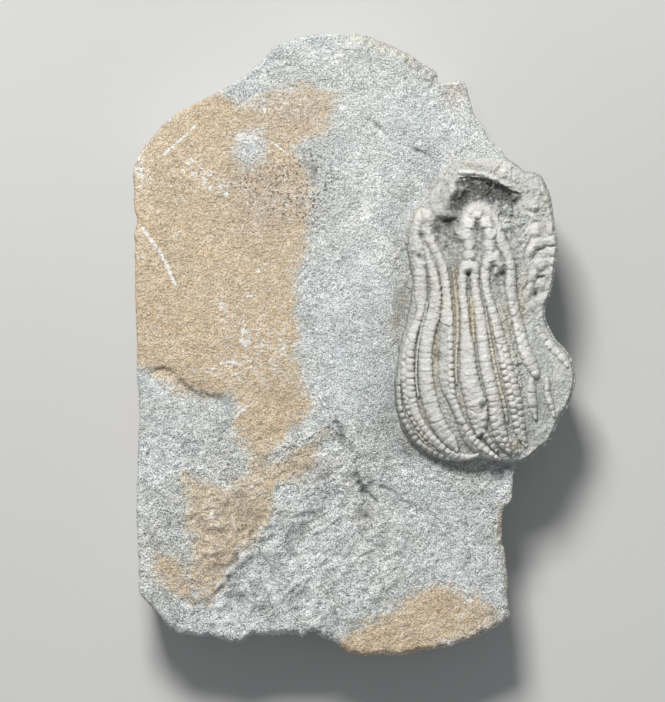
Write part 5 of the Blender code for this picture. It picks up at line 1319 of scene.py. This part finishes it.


# Painted shade and some dirt in the crown: centre, reaches, turn, strength. Most entries are painted shade in the cup's
# hollow under the rim, in the pockets beside the forks, and along the crown's lower-left and bottom edges.
SHADE_AND_DIRT = [
    (494, 188, 12, 5, 22, 0.24), (508, 193.6, 9, 5, 25, 0.34), (461, 184, 5, 5, 0, 0.3),
    (457, 200, 6, 6, 0, 0.5), (448, 221.6, 9, 3.6, 0, 0.62), (440, 226, 6, 4, -20, 0.3), (446, 207, 5, 8, 10, 0.34), (456, 208, 6, 9, 24, 0.72), (468, 198, 9, 6, 0, 0.34), (479, 203, 10, 4, 0, 0.24), (435, 229, 4.4, 5, 0, 0.42), (424, 205, 9, 3, -35, 0.2),
    (474, 190.6, 10, 6, 5, 0.40), (490, 193, 12, 7, 15, 0.42), (505, 196, 9, 6, 20, 0.36), (517, 199, 5, 8, 20, 0.22), (484, 200, 13, 4, 8, 0.24), (453, 218, 6, 5, 0, 0.42), (518, 246, 5, 12, 10, 0.16),
    (478, 245, 3.4, 12, 0, 0.14), (444, 246, 5, 12, -20, 0.14), (472, 186, 11, 7, 8, 0.30), (483, 192, 9, 6, 0, 0.34), (508, 195, 9, 5, 25, 0.36),
    (498, 198, 10, 4, 10, 0.30), (459, 206, 5, 9, 20, 0.50), (464, 196, 5, 9, 20, 0.36), (449, 225, 9, 4, 0, 0.36),
    (450, 234, 9, 5, 20, 0.16), (444, 229, 8, 5, 5, 0.34), (436, 233, 3, 6, -30, 0.26), (437, 228, 4, 5, 10, 0.20), (434, 219, 2, 8, -20, 0.3), (452, 244, 8, 10, 0, 0.12), (421.5, 235, 3.2, 4.2, 10, 0.50), (419, 257, 5, 2.4, 20, 0.52), (477, 226, 1.8, 5, 0, 0.4),
    (455, 243, 2.4, 7, -30, 0.32), (450, 252, 5, 4, 0, 0.12), (480, 238, 3, 6, 0, 0.14), (478, 265, 3, 3, 0, 0.25),
    (467.4, 274.4, 1.8, 2.4, 0, 0.3), (493, 267, 3.4, 2.0, 0, 0.14), (502.8, 274, 3.0, 2.8, 0, 0.2),
    (410, 262, 2.4, 30, 2, 0.28), (407.5, 310, 3, 24, 4, 0.3), (503, 281, 2, 4, 0, 0.3),
    (498, 276, 4, 8, 10, 0.16), (469, 284, 1.8, 8, 0, 0.3), (535, 294, 2.2, 3.4, 15, 0.5), (540, 277, 4, 1.6, -10, 0.35),
    (534, 258, 2, 5, 35, 0.3), (437, 357, 3.4, 6, -20, 0.26), (482.4, 407, 3.4, 5, 0, 0.3), (517.6, 366, 5, 2, -10, 0.3),
    (404, 400, 4, 30, -4, 0.14), (410, 433, 6, 13, -42, 0.36), (430, 454, 18, 5, 24, 0.36), (441, 447, 8, 6, 35, 0.16), (444, 434, 4, 6, -20, 0.14), (421, 456, 8, 4, 30, 0.14), (465, 462, 22, 4, 0, 0.3),
    (498, 462, 18, 3, 0, 0.24), (528, 432, 5, 9, -20, 0.26), (408, 294, 2.6, 20, 0, 0.2), (425.6, 286, 2, 20, 3, 0.18), (413, 276, 2.4, 16, 5, 0.2), (459, 420, 3, 20, -20, 0.12), (466, 352, 6, 5, 0, 0.10), (472, 371, 4, 4, 0, 0.12), (484, 396, 5, 7, 10, 0.10), (476, 384, 5, 5, 0, 0.08), (463, 330, 4, 6, 0, 0.06),
]


class Crown:
    """The crown's surface as one fine grid of heights, cut afterwards into its pieces."""

    def __init__(self):
        self.step = 0.5
        self.u = np.arange(391.0, 577.0, self.step)
        self.v = np.arange(153.0, 471.5, self.step)
        self.U, self.V = np.meshgrid(self.u, self.v)
        U, V = self.U, self.V
        plate, top = smooth_top(U, V)
        self.plate = plate
        self.base = top - self.hollow(U, V)
        self.names = ["crown_matrix"]
        self.owner = np.zeros(U.shape, np.int16)
        # The matrix the arms lie in.
        fill = 0.95 - 0.45 * ease((V - 262) / 12) * ease((526 - U) / 8)
        fill = fill - 0.25 * bump(U, V, 450, 405, 10, 22, -14) + 0.25 * ease((U - 524) / 8)
        foot = signed(U, V, FOOT)
        fill = fill - 0.9 * ease((5.5 - foot) / 5.5) * ease((V - 200) / 30)
        near, far, _ = cells(U / 4.6 + 0.3 * noise(U / 5, V / 5, 5), V / 4.6 + 0.3 * noise(U / 5, V / 5, 6), 141)
        near2, far2, _ = cells(U / 2.1, V / 2.1, 142)
        calyx = ease((262 - V) / 16)
        rough = 0.20 * (0.55 - near) + 0.10 * (0.5 - near2) + 0.16 * fbm(U / 12, V / 12, 3, 143)
        near3, far3, _ = cells(U / 8.5 + 0.35 * noise(U / 7, V / 7, 7), V / 8.5 + 0.35 * noise(U / 7, V / 7, 8), 147)
        lumpy = 0.45 * (0.5 - near3) * calyx * ease((U - 496) / 10)
        inside_cup = ease(self.hollow(U, V) / 1.5)
        near4, far4, _ = cells(U / 5.2 + 0.4 * noise(U / 4, V / 4, 9), V / 5.2 + 0.4 * noise(U / 4, V / 4, 10), 149)
        lumpy = lumpy + inside_cup * (0.5 * (0.5 - near4) + 0.3 * fbm(U / 4, V / 4, 2, 150))
        calm = 1 - 0.5 * ease((U - 522) / 12) * ease((V - 318) / 20)
        self.z = self.base + fill + rough * (1 + 0.9 * calyx) * calm + lumpy
        for cu, cv, ru, rv, turn, high in LUMPS:
            if high > 0:
                self.z = self.z + high * bump(U, V, cu, cv, ru, rv, turn)
        self.calc = 0.22 + 0.25 * ease(0.5 + 0.8 * noise(U / 6, V / 6, 144)) + 0.25 * calyx
        self.ochre = np.zeros(U.shape)
        self.tone = 0.93 + 0 * U
        self.line = np.zeros(U.shape)

    def hollow(self, u, v):
        """How deep the cup is broken in, in mm."""
        d, side, share = to_line(u, v, RIM_EDGE)
        south = np.where(side > 0, d, -d)
        depth = 1.0 + 0.6 * bump(u, v, 495, 190, 15, 26)
        deep = depth * ease((south + 1.5) / 10.0) * np.clip(1 - south / 30, 0, 1)
        deep = deep * ease((u - 451) / 20) * ease((524 - u) / 16)
        deep = deep * (1 + 0.42 * noise(u / 5.2, v / 5.2, 201) + 0.30 * noise(u / 2.6, v / 2.6, 202))
        return (deep + 1.9 * bump(u, v, 457, 203, 7.5, 11, 28) + 1.8 * bump(u, v, 448, 222.6, 10, 6, 4)
                + 0.7 * bump(u, v, 450, 238, 9, 9) + 0.6 * bump(u, v, 510, 236, 10, 14))

    def window(self, u0, u1, v0, v1):
        c0 = max(0, int((u0 - self.u[0]) / self.step))
        c1 = min(len(self.u), int((u1 - self.u[0]) / self.step) + 2)
        r0 = max(0, int((v0 - self.v[0]) / self.step))
        r1 = min(len(self.v), int((v1 - self.v[0]) / self.step) + 2)
        return np.s_[r0:max(r1, r0), c0:max(c1, c0)]

    def follow(self, line, at, sub, reach):
        """Nearest place on a path for each cell: distance, arc length, sideways offset and half width."""
        shape = self.U[sub].shape
        best = np.full(shape, 1e3)
        arc, off, half = np.zeros(shape), np.zeros(shape), np.ones(shape)
        r_off, c_off = sub[0].start, sub[1].start
        for i in range(len(line) - 1):
            ax, ay, ah = line[i, :3]
            bx, by, bh = line[i + 1, :3]
            w = self.window(min(ax, bx) - reach, max(ax, bx) + reach, min(ay, by) - reach, max(ay, by) + reach)
            k = np.s_[w[0].start - r_off:w[0].stop - r_off, w[1].start - c_off:w[1].stop - c_off]
            x, y = self.U[w] - ax, self.V[w] - ay
            dx, dy = bx - ax, by - ay
            t = np.clip((x * dx + y * dy) / (dx * dx + dy * dy), 0, 1)
            d = np.hypot(x - t * dx, y - t * dy)
            near = d < best[k]
            # Right of the path, going down the plate, is towards larger u.
            sign = np.where(dx * y - dy * x < 0, 1.0, -1.0)
            best[k] = np.where(near, d, best[k])
            arc[k] = np.where(near, at[i] + t * (at[i + 1] - at[i]), arc[k])
            off[k] = np.where(near, d * sign, off[k])
            half[k] = np.where(near, ah + t * (bh - ah), half[k])
        return best, arc, off, half

    def lay_arm(self, spec, owned=True):
        path = np.array(spec["path"], float)
        line, at = spline(path, 0.9)
        line[:, 2] = np.maximum(line[:, 2], 0.8)
        reach = line[:, 2].max() * 1.3 + 1.5
        sub = self.window(line[:, 0].min() - reach, line[:, 0].max() + reach,
                          line[:, 1].min() - reach, line[:, 1].max() + reach)
        d, arc, off, half = self.follow(line, at, sub, reach)
        U, V = self.U[sub], self.V[sub]
        seed = spec["seed"]
        loosened = 0.05 + spec.get("loose", 0.11) * ease((334 - V) / 40)
        d = d * (1 + loosened * noise(U / 3.5, V / 3.5, 500 + seed) + loosened * noise(U / 7, V / 7, 560 + seed))
        if spec.get("widen", owned):
            half = half * (1 + 0.17 * ease((348 - V) / 34))
        t = d / half
        on = t < 1.02
        rng = np.random.default_rng(900 + seed)
        seeds = [(float(np.interp(vv, line[:, 1], at)), 0.0, 2) for vv in spec.get("at", ())]
        s = float(rng.uniform(0.1, 0.5)) * 4
        while s < at[-1] + 3 and "at" not in spec:
            vv = np.interp(s, at, line[:, 1])
            loose = 0.10 + 0.22 * float(np.clip((330 - vv) / 50, 0, 1))
            per = float(ramped(vv, spec["per"])) * (1 + loose * (rng.random() - 0.5))
            h = np.interp(s, at, line[:, 2])
            mid = float(ramped(vv, spec.get("split", 0.0))) * h
            if float(ramped(vv, spec.get("pair", 0.0))) > 0.5:
                a = min(0.46 * per, 0.62 * h)
                seeds.append((s, mid - a, 0))
                seeds.append((s + per / 2, mid + a, 1))
            else:
                seeds.append((s, 0.0, 2))
            s += per
        seeds = np.array(seeds)
        seeds[:, 0] += rng.normal(0, 0.16, len(seeds))
        seeds[:, 1] += rng.normal(0, 0.18, len(seeds))
        first = np.full(U.shape, 99.0)
        second = np.full(U.shape, 99.0)
        who = np.zeros(U.shape, int)
        other = np.zeros(U.shape, int)
        warp = 0.30 * noise(U / 4.0, V / 4.0, 520 + seed)
        sx, ox = arc + warp, off + 0.25 * noise(U / 4.0, V / 4.0, 521 + seed)
        for k, (cs, cx, _) in enumerate(seeds):
            e = np.hypot(sx - cs, ox - cx)
            closer = e < first
            second_now = (~closer) & (e < second)
            other = np.where(closer, who, np.where(second_now, k, other))
            second = np.where(closer, first, np.where(second_now, e, second))
            who = np.where(closer, k, who)
            first = np.where(closer, e, first)
        gap = np.hypot(seeds[who, 0] - seeds[other, 0], seeds[who, 1] - seeds[other, 1]) + 1e-6
        edge = np.clip((second**2 - first**2) / (2 * gap), 0, 9)
        relief_mm = ramped(V, spec["relief"])
        deep, soft, cut = (ramped(V, spec[key]) for key in ("deep", "soft", "cut"))
        calmer = 0.54 + 0.32 * ease((V - 322) / 30)
        deep, cut = deep * calmer, cut * calmer
        lot = np.random.default_rng(1300 + seed).random(len(seeds))[who]
        left = (seeds[who, 2] == 0)
        if "left_quiet" in spec:
            hush = np.where(left, spec["left_quiet"], 1.0)
            deep, cut = deep * hush, cut * hush
        worn = ease(0.5 + 1.3 * noise(U / 11, V / 11, 530 + seed))
        single = seeds[who, 2] == 2
        narrow = 1 - spec.get("notch", 0.06) * np.exp(-(edge / 1.3) ** 2)
        t = t / narrow
        on = t < 1.02
        vault = np.sqrt(np.clip(1 - np.clip(t, 0, 1) ** spec.get("flat", 2.4), 0, 1))
        rise = relief_mm * vault * (1 + 0.13 * (lot - 0.5))
        mild = spec.get("mild", np.where(single, 0.42, 0.72))
        rise = rise - mild * deep * (1 - ease(edge / soft)) * (0.35 + 0.65 * worn)
        rise = rise - mild * cut * np.exp(-(edge / 0.62) ** 2) * (0.25 + 0.75 * worn)
        if spec.get("at"):
            rise = rise + vault * 0.22 * noise(U / 5.0, V / 5.0, 570 + seed)
        rise = rise + vault * (0.13 * noise(U / 6.5, V / 6.5, 540 + seed) + 0.09 * noise(U / 3.2, V / 3.2, 541 + seed))
        if "left_drop" in spec:
            rise = rise - spec["left_drop"] * left
        z = self.base[sub] + 0.12 + rise
        z = np.where(on, z, -99)
        wins = on & (z > self.z[sub])
        self.z[sub] = np.where(wins, z, self.z[sub])
        if owned:
            if spec["name"] not in self.names:
                self.names.append(spec["name"])
            self.owner[sub] = np.where(wins, self.names.index(spec["name"]), self.owner[sub])
        calc = spec.get("calc", 1.0) * np.where(left, spec.get("left_calc", 1.0), 1.0)
        tone = spec.get("tone", 1.0) * np.where(left, spec.get("left_tone", 1.0), 1.0)
        tone = tone * (1 + 0.07 * (lot - 0.5))
        self.calc[sub] = np.where(wins, calc, self.calc[sub])
        self.tone[sub] = np.where(wins, tone, self.tone[sub])
        self.ochre[sub] = np.where(wins, spec.get("ochre", 0.0) * (0.75 + 0.5 * lot), self.ochre[sub])
        # Line marks: dark sutures between plates, and a darkening along the arm's edges that is partly soil in the gap
        # and partly painted shade.
        seam = np.exp(-(edge / 0.7) ** 2) * np.clip((cut / 0.26) ** 1.7, 0.03, 1.0) * (0.25 + 0.75 * worn)
        seam = seam * np.where(single, 0.6, 0.9)
        rim = ease((t - 0.84) / 0.16)
        self.line[sub] = np.where(wins, np.maximum(seam, 0.6 * rim), self.line[sub])

    def lay_cup(self, name, lumps, cracks, level, rough, calc, tone, ring=None):
        """Plates worn into one another: on a level bed inside ring, or standing free without one."""
        if name not in self.names:
            self.names.append(name)
        reach = np.array(ring if ring else [p[:2] for p in lumps], float)
        room = 3 if ring else 16
        sub = self.window(reach[:, 0].min() - room, reach[:, 0].max() + room,
                          reach[:, 1].min() - room, reach[:, 1].max() + room)
        U, V = self.U[sub], self.V[sub]
        seed = 700 + 11 * len(name)
        wu = U + 0.9 * noise(U / 5.5, V / 5.5, seed) + 0.35 * noise(U / 2.6, V / 2.6, seed + 2)
        wv = V + 0.9 * noise(U / 5.5, V / 5.5, seed + 1) + 0.35 * noise(U / 2.6, V / 2.6, seed + 3)
        total, sunk, tint = 0 * U, 0 * U, 0 * U
        weight = 1e-6 + 0 * U
        for cu, cv, ru, rv, turn, high, shade in lumps:
            b = bump(wu, wv, cu, cv, 1.08 * ru, 1.15 * rv, turn) if ring else bump(wu, wv, cu, cv, 1.22 * ru, 1.42 * rv, turn)
            dome = np.exp(-np.maximum(-np.log(np.maximum(b, 1e-9)), 0) ** 1.7)
            if high > 0:
                total = total + (high * dome) ** 2.5
            else:
                sunk = sunk + high * dome
            tint = tint + b * shade
            weight = weight + b
        rise = total**0.4 + sunk
        shade = (tint + 0.3) / (weight + 0.3)
        groove, line = 0 * U, 0 * U
        for path, power in cracks:
            d, _, share = to_line(wu, wv, path)
            ends = ease(share * 5) * ease((1 - share) * 5)
            groove = np.maximum(groove, power * ends * np.exp(-(d / 1.1) ** 2))
            line = np.maximum(line, power * ends * np.exp(-(d / 0.62) ** 2) * (0.75 + 0.5 * noise(U / 3, V / 3, seed + 8)))
        rise = rise - 0.24 * groove
        rise = rise + rough * (0.24 * fbm(U / 5.5, V / 5.5, 2, seed + 6) + 0.07 * noise(U / 2.2, V / 2.2, seed + 7))
        z = self.base[sub] + level + rise
        if ring:
            border, _ = spline(np.array(ring, float), 1.6, closed=True)
            d = signed(wu, wv, border)
            share = ease((d + 1.6) / 3.4)
            z = self.z[sub] * (1 - share) + z * share
            wins = d > -1.6
        else:
            wins = (z > self.z[sub]) & (rise > 0.35)
        self.z[sub] = np.where(wins, z, self.z[sub])
        self.owner[sub] = np.where(wins, self.names.index(name), self.owner[sub])
        self.calc[sub] = np.where(wins, calc, self.calc[sub])
        self.tone[sub] = np.where(wins, tone * shade, self.tone[sub])
        self.line[sub] = np.where(wins, 1.9 * line, self.line[sub])
        self.ochre[sub] = np.where(wins, 0, self.ochre[sub])

    def settle(self, a, wide):
        return blur(np.asarray(a, float), wide / self.step)

    def finish(self):
        U, V = self.U, self.V
        for cu, cv, ru, rv, turn, high in LUMPS:
            if high < 0:
                wu = U + 0.9 * noise(U / 2.3, V / 2.3, 156)
                wv = V + 0.9 * noise(U / 2.3, V / 2.3, 157)
                self.z = self.z + 0.72 * high * bump(wu, wv, cu, cv, 1.15 * ru, 1.15 * rv, turn)
        # Weathering at several sizes.
        arms = self.owner > 0
        near, far, _ = cells(U / 1.7, V / 1.7, 151)
        fine = 0.05 * fbm(U / 2.4, V / 2.4, 2, 152) + 0.05 * (0.5 - near)
        calm = 1 - 0.6 * ease((U - 522) / 12) * ease((V - 318) / 20)
        loose = np.where(arms, 0, 0.16) * noise(U / 3.2, V / 3.2, 158) * calm
        self.z = self.z + loose + fine * np.where(arms, 0.75, 1.6) + 0.07 * fbm(U / 7, V / 7, 2, 153)
        foot = signed_near(U, V, FOOT)
        ring, _ = spline(OUTLINE, 4.0, closed=True)
        near_ring = ring[(ring[:, 0] > 488) & (ring[:, 1] < 480) & (ring[:, 1] > 140)]
        d_ring = to_line(U, V, near_ring)[0]
        # Order along the outline is kept, and the part used is one stretch of it.
        inner = inside(U, V, OUTLINE)
        d_ring = np.where(inner, d_ring, -d_ring)
        self.mask = (foot > -2.4) & (d_ring > 1.0)
        # The edge falls to the plate on the left and below.
        under = self.plate - 0.35
        share = ease((foot + 0.9 + 0.5 * noise(U / 3, V / 3, 154) + 0.9 * noise(U / 8, V / 8, 155)) / 2.9)
        lobe = 0.5 + 0.5 * share
        self.z = under + (self.z - under) * share * (lobe + (1 - lobe) * 0.999)
        # On the right it runs out onto the stone's own edge.
        band = self.mask & (d_ring < 8)
        edge_z = relief(U[band], V[band]) - bevel(U[band], V[band], d_ring[band])
        w = ease((d_ring[band] - 1.4) / 2.6)
        drop = bevel(U[band], V[band], d_ring[band])
        mix = (self.z[band] - 0.75 * drop) * w + (edge_z - 0.16) * (1 - w)
        self.z[band] = mix
        self.foot, self.d_ring = foot, d_ring
        s = 1 / self.step
        z = self.z
        c1 = blur(z, 0.9 * s) - z
        c2 = blur(z, 2.6 * s) - z
        c3 = blur(z, 7.0 * s) - z
        # cavity darkens grooves, partly as soil and partly as painted shade; high pales convex tops, partly wear and
        # partly painted highlight; deep darkens broad hollows as painted shade.
        self.cavity = np.clip(c1 / 0.20, 0, 1) * 0.5 + np.clip(c2 / 0.55, 0, 1) * 0.7
        self.cavity = np.clip(self.cavity + 0.42 * self.line, 0, 1.1)
        self.high = np.clip(-c2 / 0.5, 0, 1)
        self.deep = np.clip((c3 - 0.5) / 2.6, 0, 1)

    def attributes(self):
        U, V = self.U, self.V
        out = {"calc": np.clip(self.calc, 0, 1), "groove": np.clip(self.cavity, 0, 1), "high": self.high}
        ochre = self.ochre.copy()
        for cu, cv, ru, rv, power in (
                (456, 312, 4, 46, 0.55), (471.5, 318, 4.5, 26, 0.5), (491, 352, 4, 34, 0.5), (500, 392, 4, 26, 0.5),
                (513, 446, 9, 7, 0.75), (435.6, 352, 3.4, 38, 0.7), (505, 322, 6, 24, 0.35), (522, 292, 8, 18, 0.55),
                (418, 432, 15, 15, 0.12), (430, 446, 16, 8, 0.10), (480, 226, 4, 9, 0.4), (545, 205, 8, 20, 0.45),
                (490, 170, 22, 7, 0.2), (503, 166, 7, 5, 0.35), (468, 164, 10, 5, 0.3), (411, 260, 3, 40, 0.4),
                (424, 420, 5, 24, 0.4), (462, 400, 4, 14, 0.35), (440, 230, 14, 10, 0.2), (519, 315, 5, 14, 0.5),
                (455, 285, 5, 16, 0.45), (440, 290, 3, 26, 0.35)):
            ochre = ochre + power * bump(U, V, cu, cv, ru, rv) * np.where(self.owner == 0, 1.0, 0.30 + 0.7 * self.cavity)
        ochre = ochre + 0.10 * np.clip(noise(U / 9, V / 9, 161), 0, 1)
        out["ochre"] = np.clip(ochre, 0, 0.95)
        # Painted shade: darker in broad hollows of the surface and in the cup's hollow.
        dark = 0.62 * self.deep + 0 * U
        hollow = self.hollow(U, V)
        dark = np.maximum(dark, 0.22 * ease(hollow / 3.0))
        # Painted shadow below the rim's edge, spreading south into the hollow.
        d, side, share = to_line(U, V, RIM_EDGE)
        south = np.where(side > 0, d, -d)
        shade = ease((south + 1.0) / 2.2) * np.exp(-(np.maximum(south - 5, 0) / 15.0) ** 2)
        shade = shade * ease((U - 451 + 8 * noise(U / 6, V / 6, 169)) / 18) * ease((524 - U + 5 * noise(U / 6, V / 6, 170)) / 16)
        dark = np.maximum(dark, (0.74 + 1.1 * noise(U / 6, V / 6, 166) + 1.1 * noise(U / 2.6, V / 2.6, 167)) * shade)
        # Painted shade on the matrix between the fork plates.
        between = ease((U - 428) / 8) * ease((520 - U) / 8) * ease((V - 222) / 8) * ease((304 - V) / 20)
        dark = dark + between * (self.owner == 0) * (0.22 + 0.35 * noise(U / 4, V / 4, 178))
        # Painted shade, with some dirt, from the list above, broken into patches.
        patchy = 0.8 + 0.5 * noise(U / 2.6, V / 2.6, 163) + 0.3 * noise(U / 5.5, V / 5.5, 164)
        for cu, cv, ru, rv, turn, power in SHADE_AND_DIRT:
            dark = dark + power * bump(U, V, cu, cv, ru, rv, turn) * patchy
        # Painted shade along the crown's foot, lower down the plate.
        near_edge = ease((5.5 - self.foot) / 5.5) * ease((V - 300) / 60)
        dark = dark + 0.30 * near_edge
        forks = [self.names.index(x) for x in ("fork_plates_left", "fork_plates_centre_left", "fork_plates_centre_right",
                                               "first_centre_plate") if x in self.names]
        proud = blur(np.isin(self.owner, forks).astype(float), 0.8 / self.step)
        dark = dark * (1 - 0.6 * proud)
        out["dark"] = np.clip(dark, 0, 0.90)
        # Convex tops a little brighter: partly wear, partly painted highlight.
        tone = self.tone * (1 + 0.05 * noise(U / 14, V / 14, 162)) * (1 + 0.05 * self.high)
        tone = tone * (1 + 0.07 * bump(U, V, 442, 354, 13, 34)) * (1 + 0.05 * bump(U, V, 470, 385, 14, 26)) * (1 + 0.07 * bump(U, V, 500, 392, 12, 40))
        tone = tone * (1 + 0.08 * fbm(U / 9, V / 9, 3, 165) * (self.owner == 0))
        for cu, cv, ru, rv, power in ((490, 365, 22, 60, 0.09), (520, 345, 16, 60, 0.10), (470, 250, 50, 22, -0.05), (454, 166, 9, 9, -0.12),
                                      (546, 200, 12, 26, -0.07), (444, 184, 14, 10, -0.05), (500, 225, 10, 12, 0.10), (530, 232, 12, 30, 0.12),
                                      (449, 190, 6, 8, 0.26), (461, 171, 11, 5, 0.16), (505, 170, 9, 8, 0.14), (492, 172, 10, 7, 0.08), (468, 220, 7, 9, 0.08), (483, 226, 6, 7, 0.08), (531, 234, 8, 11, 0.08), (493, 262, 6, 7, 0.08), (555, 385, 16, 40, 0.08), (470, 320, 40, 26, 0.03), (520, 320, 16, 60, 0.04), (425, 275, 14, 40, -0.03)):
            tone = tone * (1 + power * bump(U, V, cu, cv, ru, rv))
        out["tone"] = np.clip(tone, 0.4, 1.3)
        return out

    def build(self, mat):
        rows, cols = self.U.shape
        owner = self.owner
        # Smooth the borders between pieces.
        best = np.full(owner.shape, -1.0)
        calm = np.zeros(owner.shape, np.int16)
        for k in range(len(self.names)):
            share = blur((owner == k).astype(float), 0.8 / self.step)
            up = share > best
            calm = np.where(up, k, calm)
            best = np.where(up, share, best)
        attrs = self.attributes()
        cell = self.mask[:-1, :-1] & self.mask[1:, :-1] & self.mask[:-1, 1:] & self.mask[1:, 1:]
        label = calm[:-1, :-1]
        floor = np.minimum(blur(self.z, 4 / self.step) - 1.3, self.z - 0.6)
        index = np.arange(rows * cols).reshape(rows, cols)
        total = 0
        for k, name in enumerate(self.names):
            part = cell & (label == k)
            if not part.any():
                print("note: nothing left of", name)
                continue
            r, c = np.nonzero(part)
            a, b, e, d = index[r, c], index[r, c + 1], index[r + 1, c + 1], index[r + 1, c]
            quads = np.stack([a, d, e, b], axis=1)
            pad = np.pad(part, 1)
            west, east = ~pad[1:-1, :-2] & part, ~pad[1:-1, 2:] & part
            north, south = ~pad[:-2, 1:-1] & part, ~pad[2:, 1:-1] & part
            lines = []
            for side, (p, q) in ((west, ((0, 0), (1, 0))), (south, ((1, 0), (1, 1))), (east, ((1, 1), (0, 1))),
                                 (north, ((0, 1), (0, 0)))):
                rr, cc = np.nonzero(side)
                lines.append(np.stack([index[rr + p[0], cc + p[1]], index[rr + q[0], cc + q[1]]], axis=1))
            lines = np.vstack(lines)
            top_ids = np.unique(quads)
            rim_ids = np.unique(lines)
            to_top = np.full(rows * cols, -1, np.int64)
            to_top[top_ids] = np.arange(len(top_ids))
            to_low = np.full(rows * cols, -1, np.int64)
            to_low[rim_ids] = np.arange(len(rim_ids))
            # Sparse points inside the underside.
            gap = max(2, int(round(3.6 / self.step)))
            inner = np.zeros((rows, cols), bool)
            inner[::gap, ::gap] = True
            solid = np.zeros((rows, cols), bool)
            solid[1:-1, 1:-1] = part[:-1, :-1] & part[1:, :-1] & part[:-1, 1:] & part[1:, 1:] if part.shape == (
                rows - 1, cols - 1) else False
            in_ids = index[inner & solid]
            in_ids = in_ids[to_low[in_ids] < 0]
            low_ids = np.concatenate([rim_ids, in_ids])
            flat = np.stack([self.U.ravel()[low_ids], self.V.ravel()[low_ids]], axis=1)
            back, _, tris, *_ = delaunay_2d_cdt([Vector(p) for p in flat],
                                                [(int(x), int(y)) for x, y in to_low[lines]], [], 0, 1e-6)
            tris = np.array([list(t) for t in tris if len(t) == 3], np.int64)
            if len(back) != len(flat):
                print("note: underside of", name, "changed its points by", len(back) - len(flat))
            where = np.array([tuple(p) for p in back])
            mid = where[tris].mean(axis=1)
            ci = np.clip(((mid[:, 1] - self.v[0]) / self.step).astype(int), 0, rows - 2)
            cj = np.clip(((mid[:, 0] - self.u[0]) / self.step).astype(int), 0, cols - 2)
            tris = tris[part[ci, cj]]
            n = len(top_ids)
            top_uv = np.stack([self.U.ravel()[top_ids], self.V.ravel()[top_ids]], axis=1)
            verts = np.vstack([place(top_uv, self.z.ravel()[top_ids]), place(flat, floor.ravel()[low_ids])])
            pt, qt = to_top[lines[:, 0]], to_top[lines[:, 1]]
            pl, ql = to_low[lines[:, 0]] + n, to_low[lines[:, 1]] + n
            walls = np.stack([qt, pt, pl, ql], axis=1)
            faces = [to_top[quads].astype(np.int32), walls.astype(np.int32), (tris + n).astype(np.int32)]
            values = {key: np.concatenate([x.ravel()[top_ids], x.ravel()[low_ids]]) for key, x in attrs.items()}
            piece = name if k == 0 else name + "_relief"
            me = new_mesh(piece, verts, faces, values)
            # A crisp break between the surface and the hidden sides.
            ends = np.empty(len(me.edges) * 2, np.int32)
            me.edges.foreach_get("vertices", ends)
            ends = np.sort(ends.reshape(-1, 2), axis=1).astype(np.int64)
            rim = np.sort(np.stack([pt, qt], axis=1), axis=1)
            sharp = np.isin(ends[:, 0] * (len(verts) + 1) + ends[:, 1], rim[:, 0] * (len(verts) + 1) + rim[:, 1])
            layer = me.attributes.new("sharp_edge", "BOOLEAN", "EDGE")
            layer.data.foreach_set("value", sharp)
            add_piece(piece, me, mat, () if k == 0 else (name,))
            count = 2 * len(quads) + 2 * len(walls) + len(tris)
            total += count
            if k == 0 or count > 60000:
                print("piece", piece, count, "triangles")
        print("crown:", total, "triangles")


def signed_near(u, v, ring):
    """signed() on a big grid, exact near the ring."""
    return signed(u, v, ring)


def build_crown(mat):
    crown = Crown()
    for spec in FILLS:
        crown.lay_arm(spec, owned=False)
    for spec in CUP:
        if "ring" in spec:
            crown.lay_cup(**spec)
    for spec in ARMS:
        crown.lay_arm(spec)
    for spec in CUP:
        if "ring" not in spec:
            crown.lay_cup(**spec)
    crown.finish()
    crown.build(mat)


# ------------------------------------------------------------------ stage, light, camera


def build_stage():
    n = Nodes("floor_paper")
    n.finish(n.mix(n.ramp(n.noise(6, 2.0), 0.3, 0.7), (0.66, 0.66, 0.65), (0.7, 0.7, 0.69)), 0.85, None, 0.2)
    me = bpy.data.meshes.new("floor")
    s = 3.0
    me.from_pydata([(-s, -s, -0.00005), (s, -s, -0.00005), (s, s, -0.00005), (-s, s, -0.00005)], [], [(0, 1, 2, 3)])
    me.materials.append(n.mat)
    ob = bpy.data.objects.new("floor", me)
    bpy.context.scene.collection.objects.link(ob)


def build_light():
    world = bpy.data.worlds.new("studio")
    world.use_nodes = True
    world.node_tree.nodes["Background"].inputs["Color"].default_value = (0.93, 0.96, 1.0, 1)
    world.node_tree.nodes["Background"].inputs["Strength"].default_value = 0.22
    bpy.context.scene.world = world

    def area(name, at, size, energy, colour):
        data = bpy.data.lights.new(name, "AREA")
        data.shape = "SQUARE"
        data.size = size
        data.energy = energy
        data.color = colour
        ob = bpy.data.objects.new(name, data)
        bpy.context.scene.collection.objects.link(ob)
        ob.location = at
        ob.rotation_euler = (Vector((0, 0, 0.02)) - Vector(at)).to_track_quat("-Z", "Y").to_euler()

    az, el, far = math.radians(105), math.radians(52), 0.85
    area("key", (far * math.cos(el) * math.cos(az), far * math.cos(el) * math.sin(az), far * math.sin(el)), 0.22,
         6.6, (1.0, 0.985, 0.96))


def build_camera():
    data = bpy.data.cameras.new("view")
    far = 1.2
    data.sensor_fit = "AUTO"
    data.sensor_width = 36.0
    data.lens = 36.0 * far / (702 * GRID)
    data.clip_start, data.clip_end = 0.05, 20.0
    ob = bpy.data.objects.new("view", data)
    bpy.context.scene.collection.objects.link(ob)
    ob.location = ((332.5 - MID[0]) * GRID, (MID[1] - 351.0) * GRID, THICK * MM + far)
    bpy.context.scene.camera = ob


def main():
    bpy.context.scene.view_settings.view_transform = "Standard"
    stone = siltstone()
    fossil = calcite()
    build_stage()
    build_light()
    build_camera()
    build_stone(stone)
    build_crown(fossil)
    bpy.context.view_layer.update()


main()
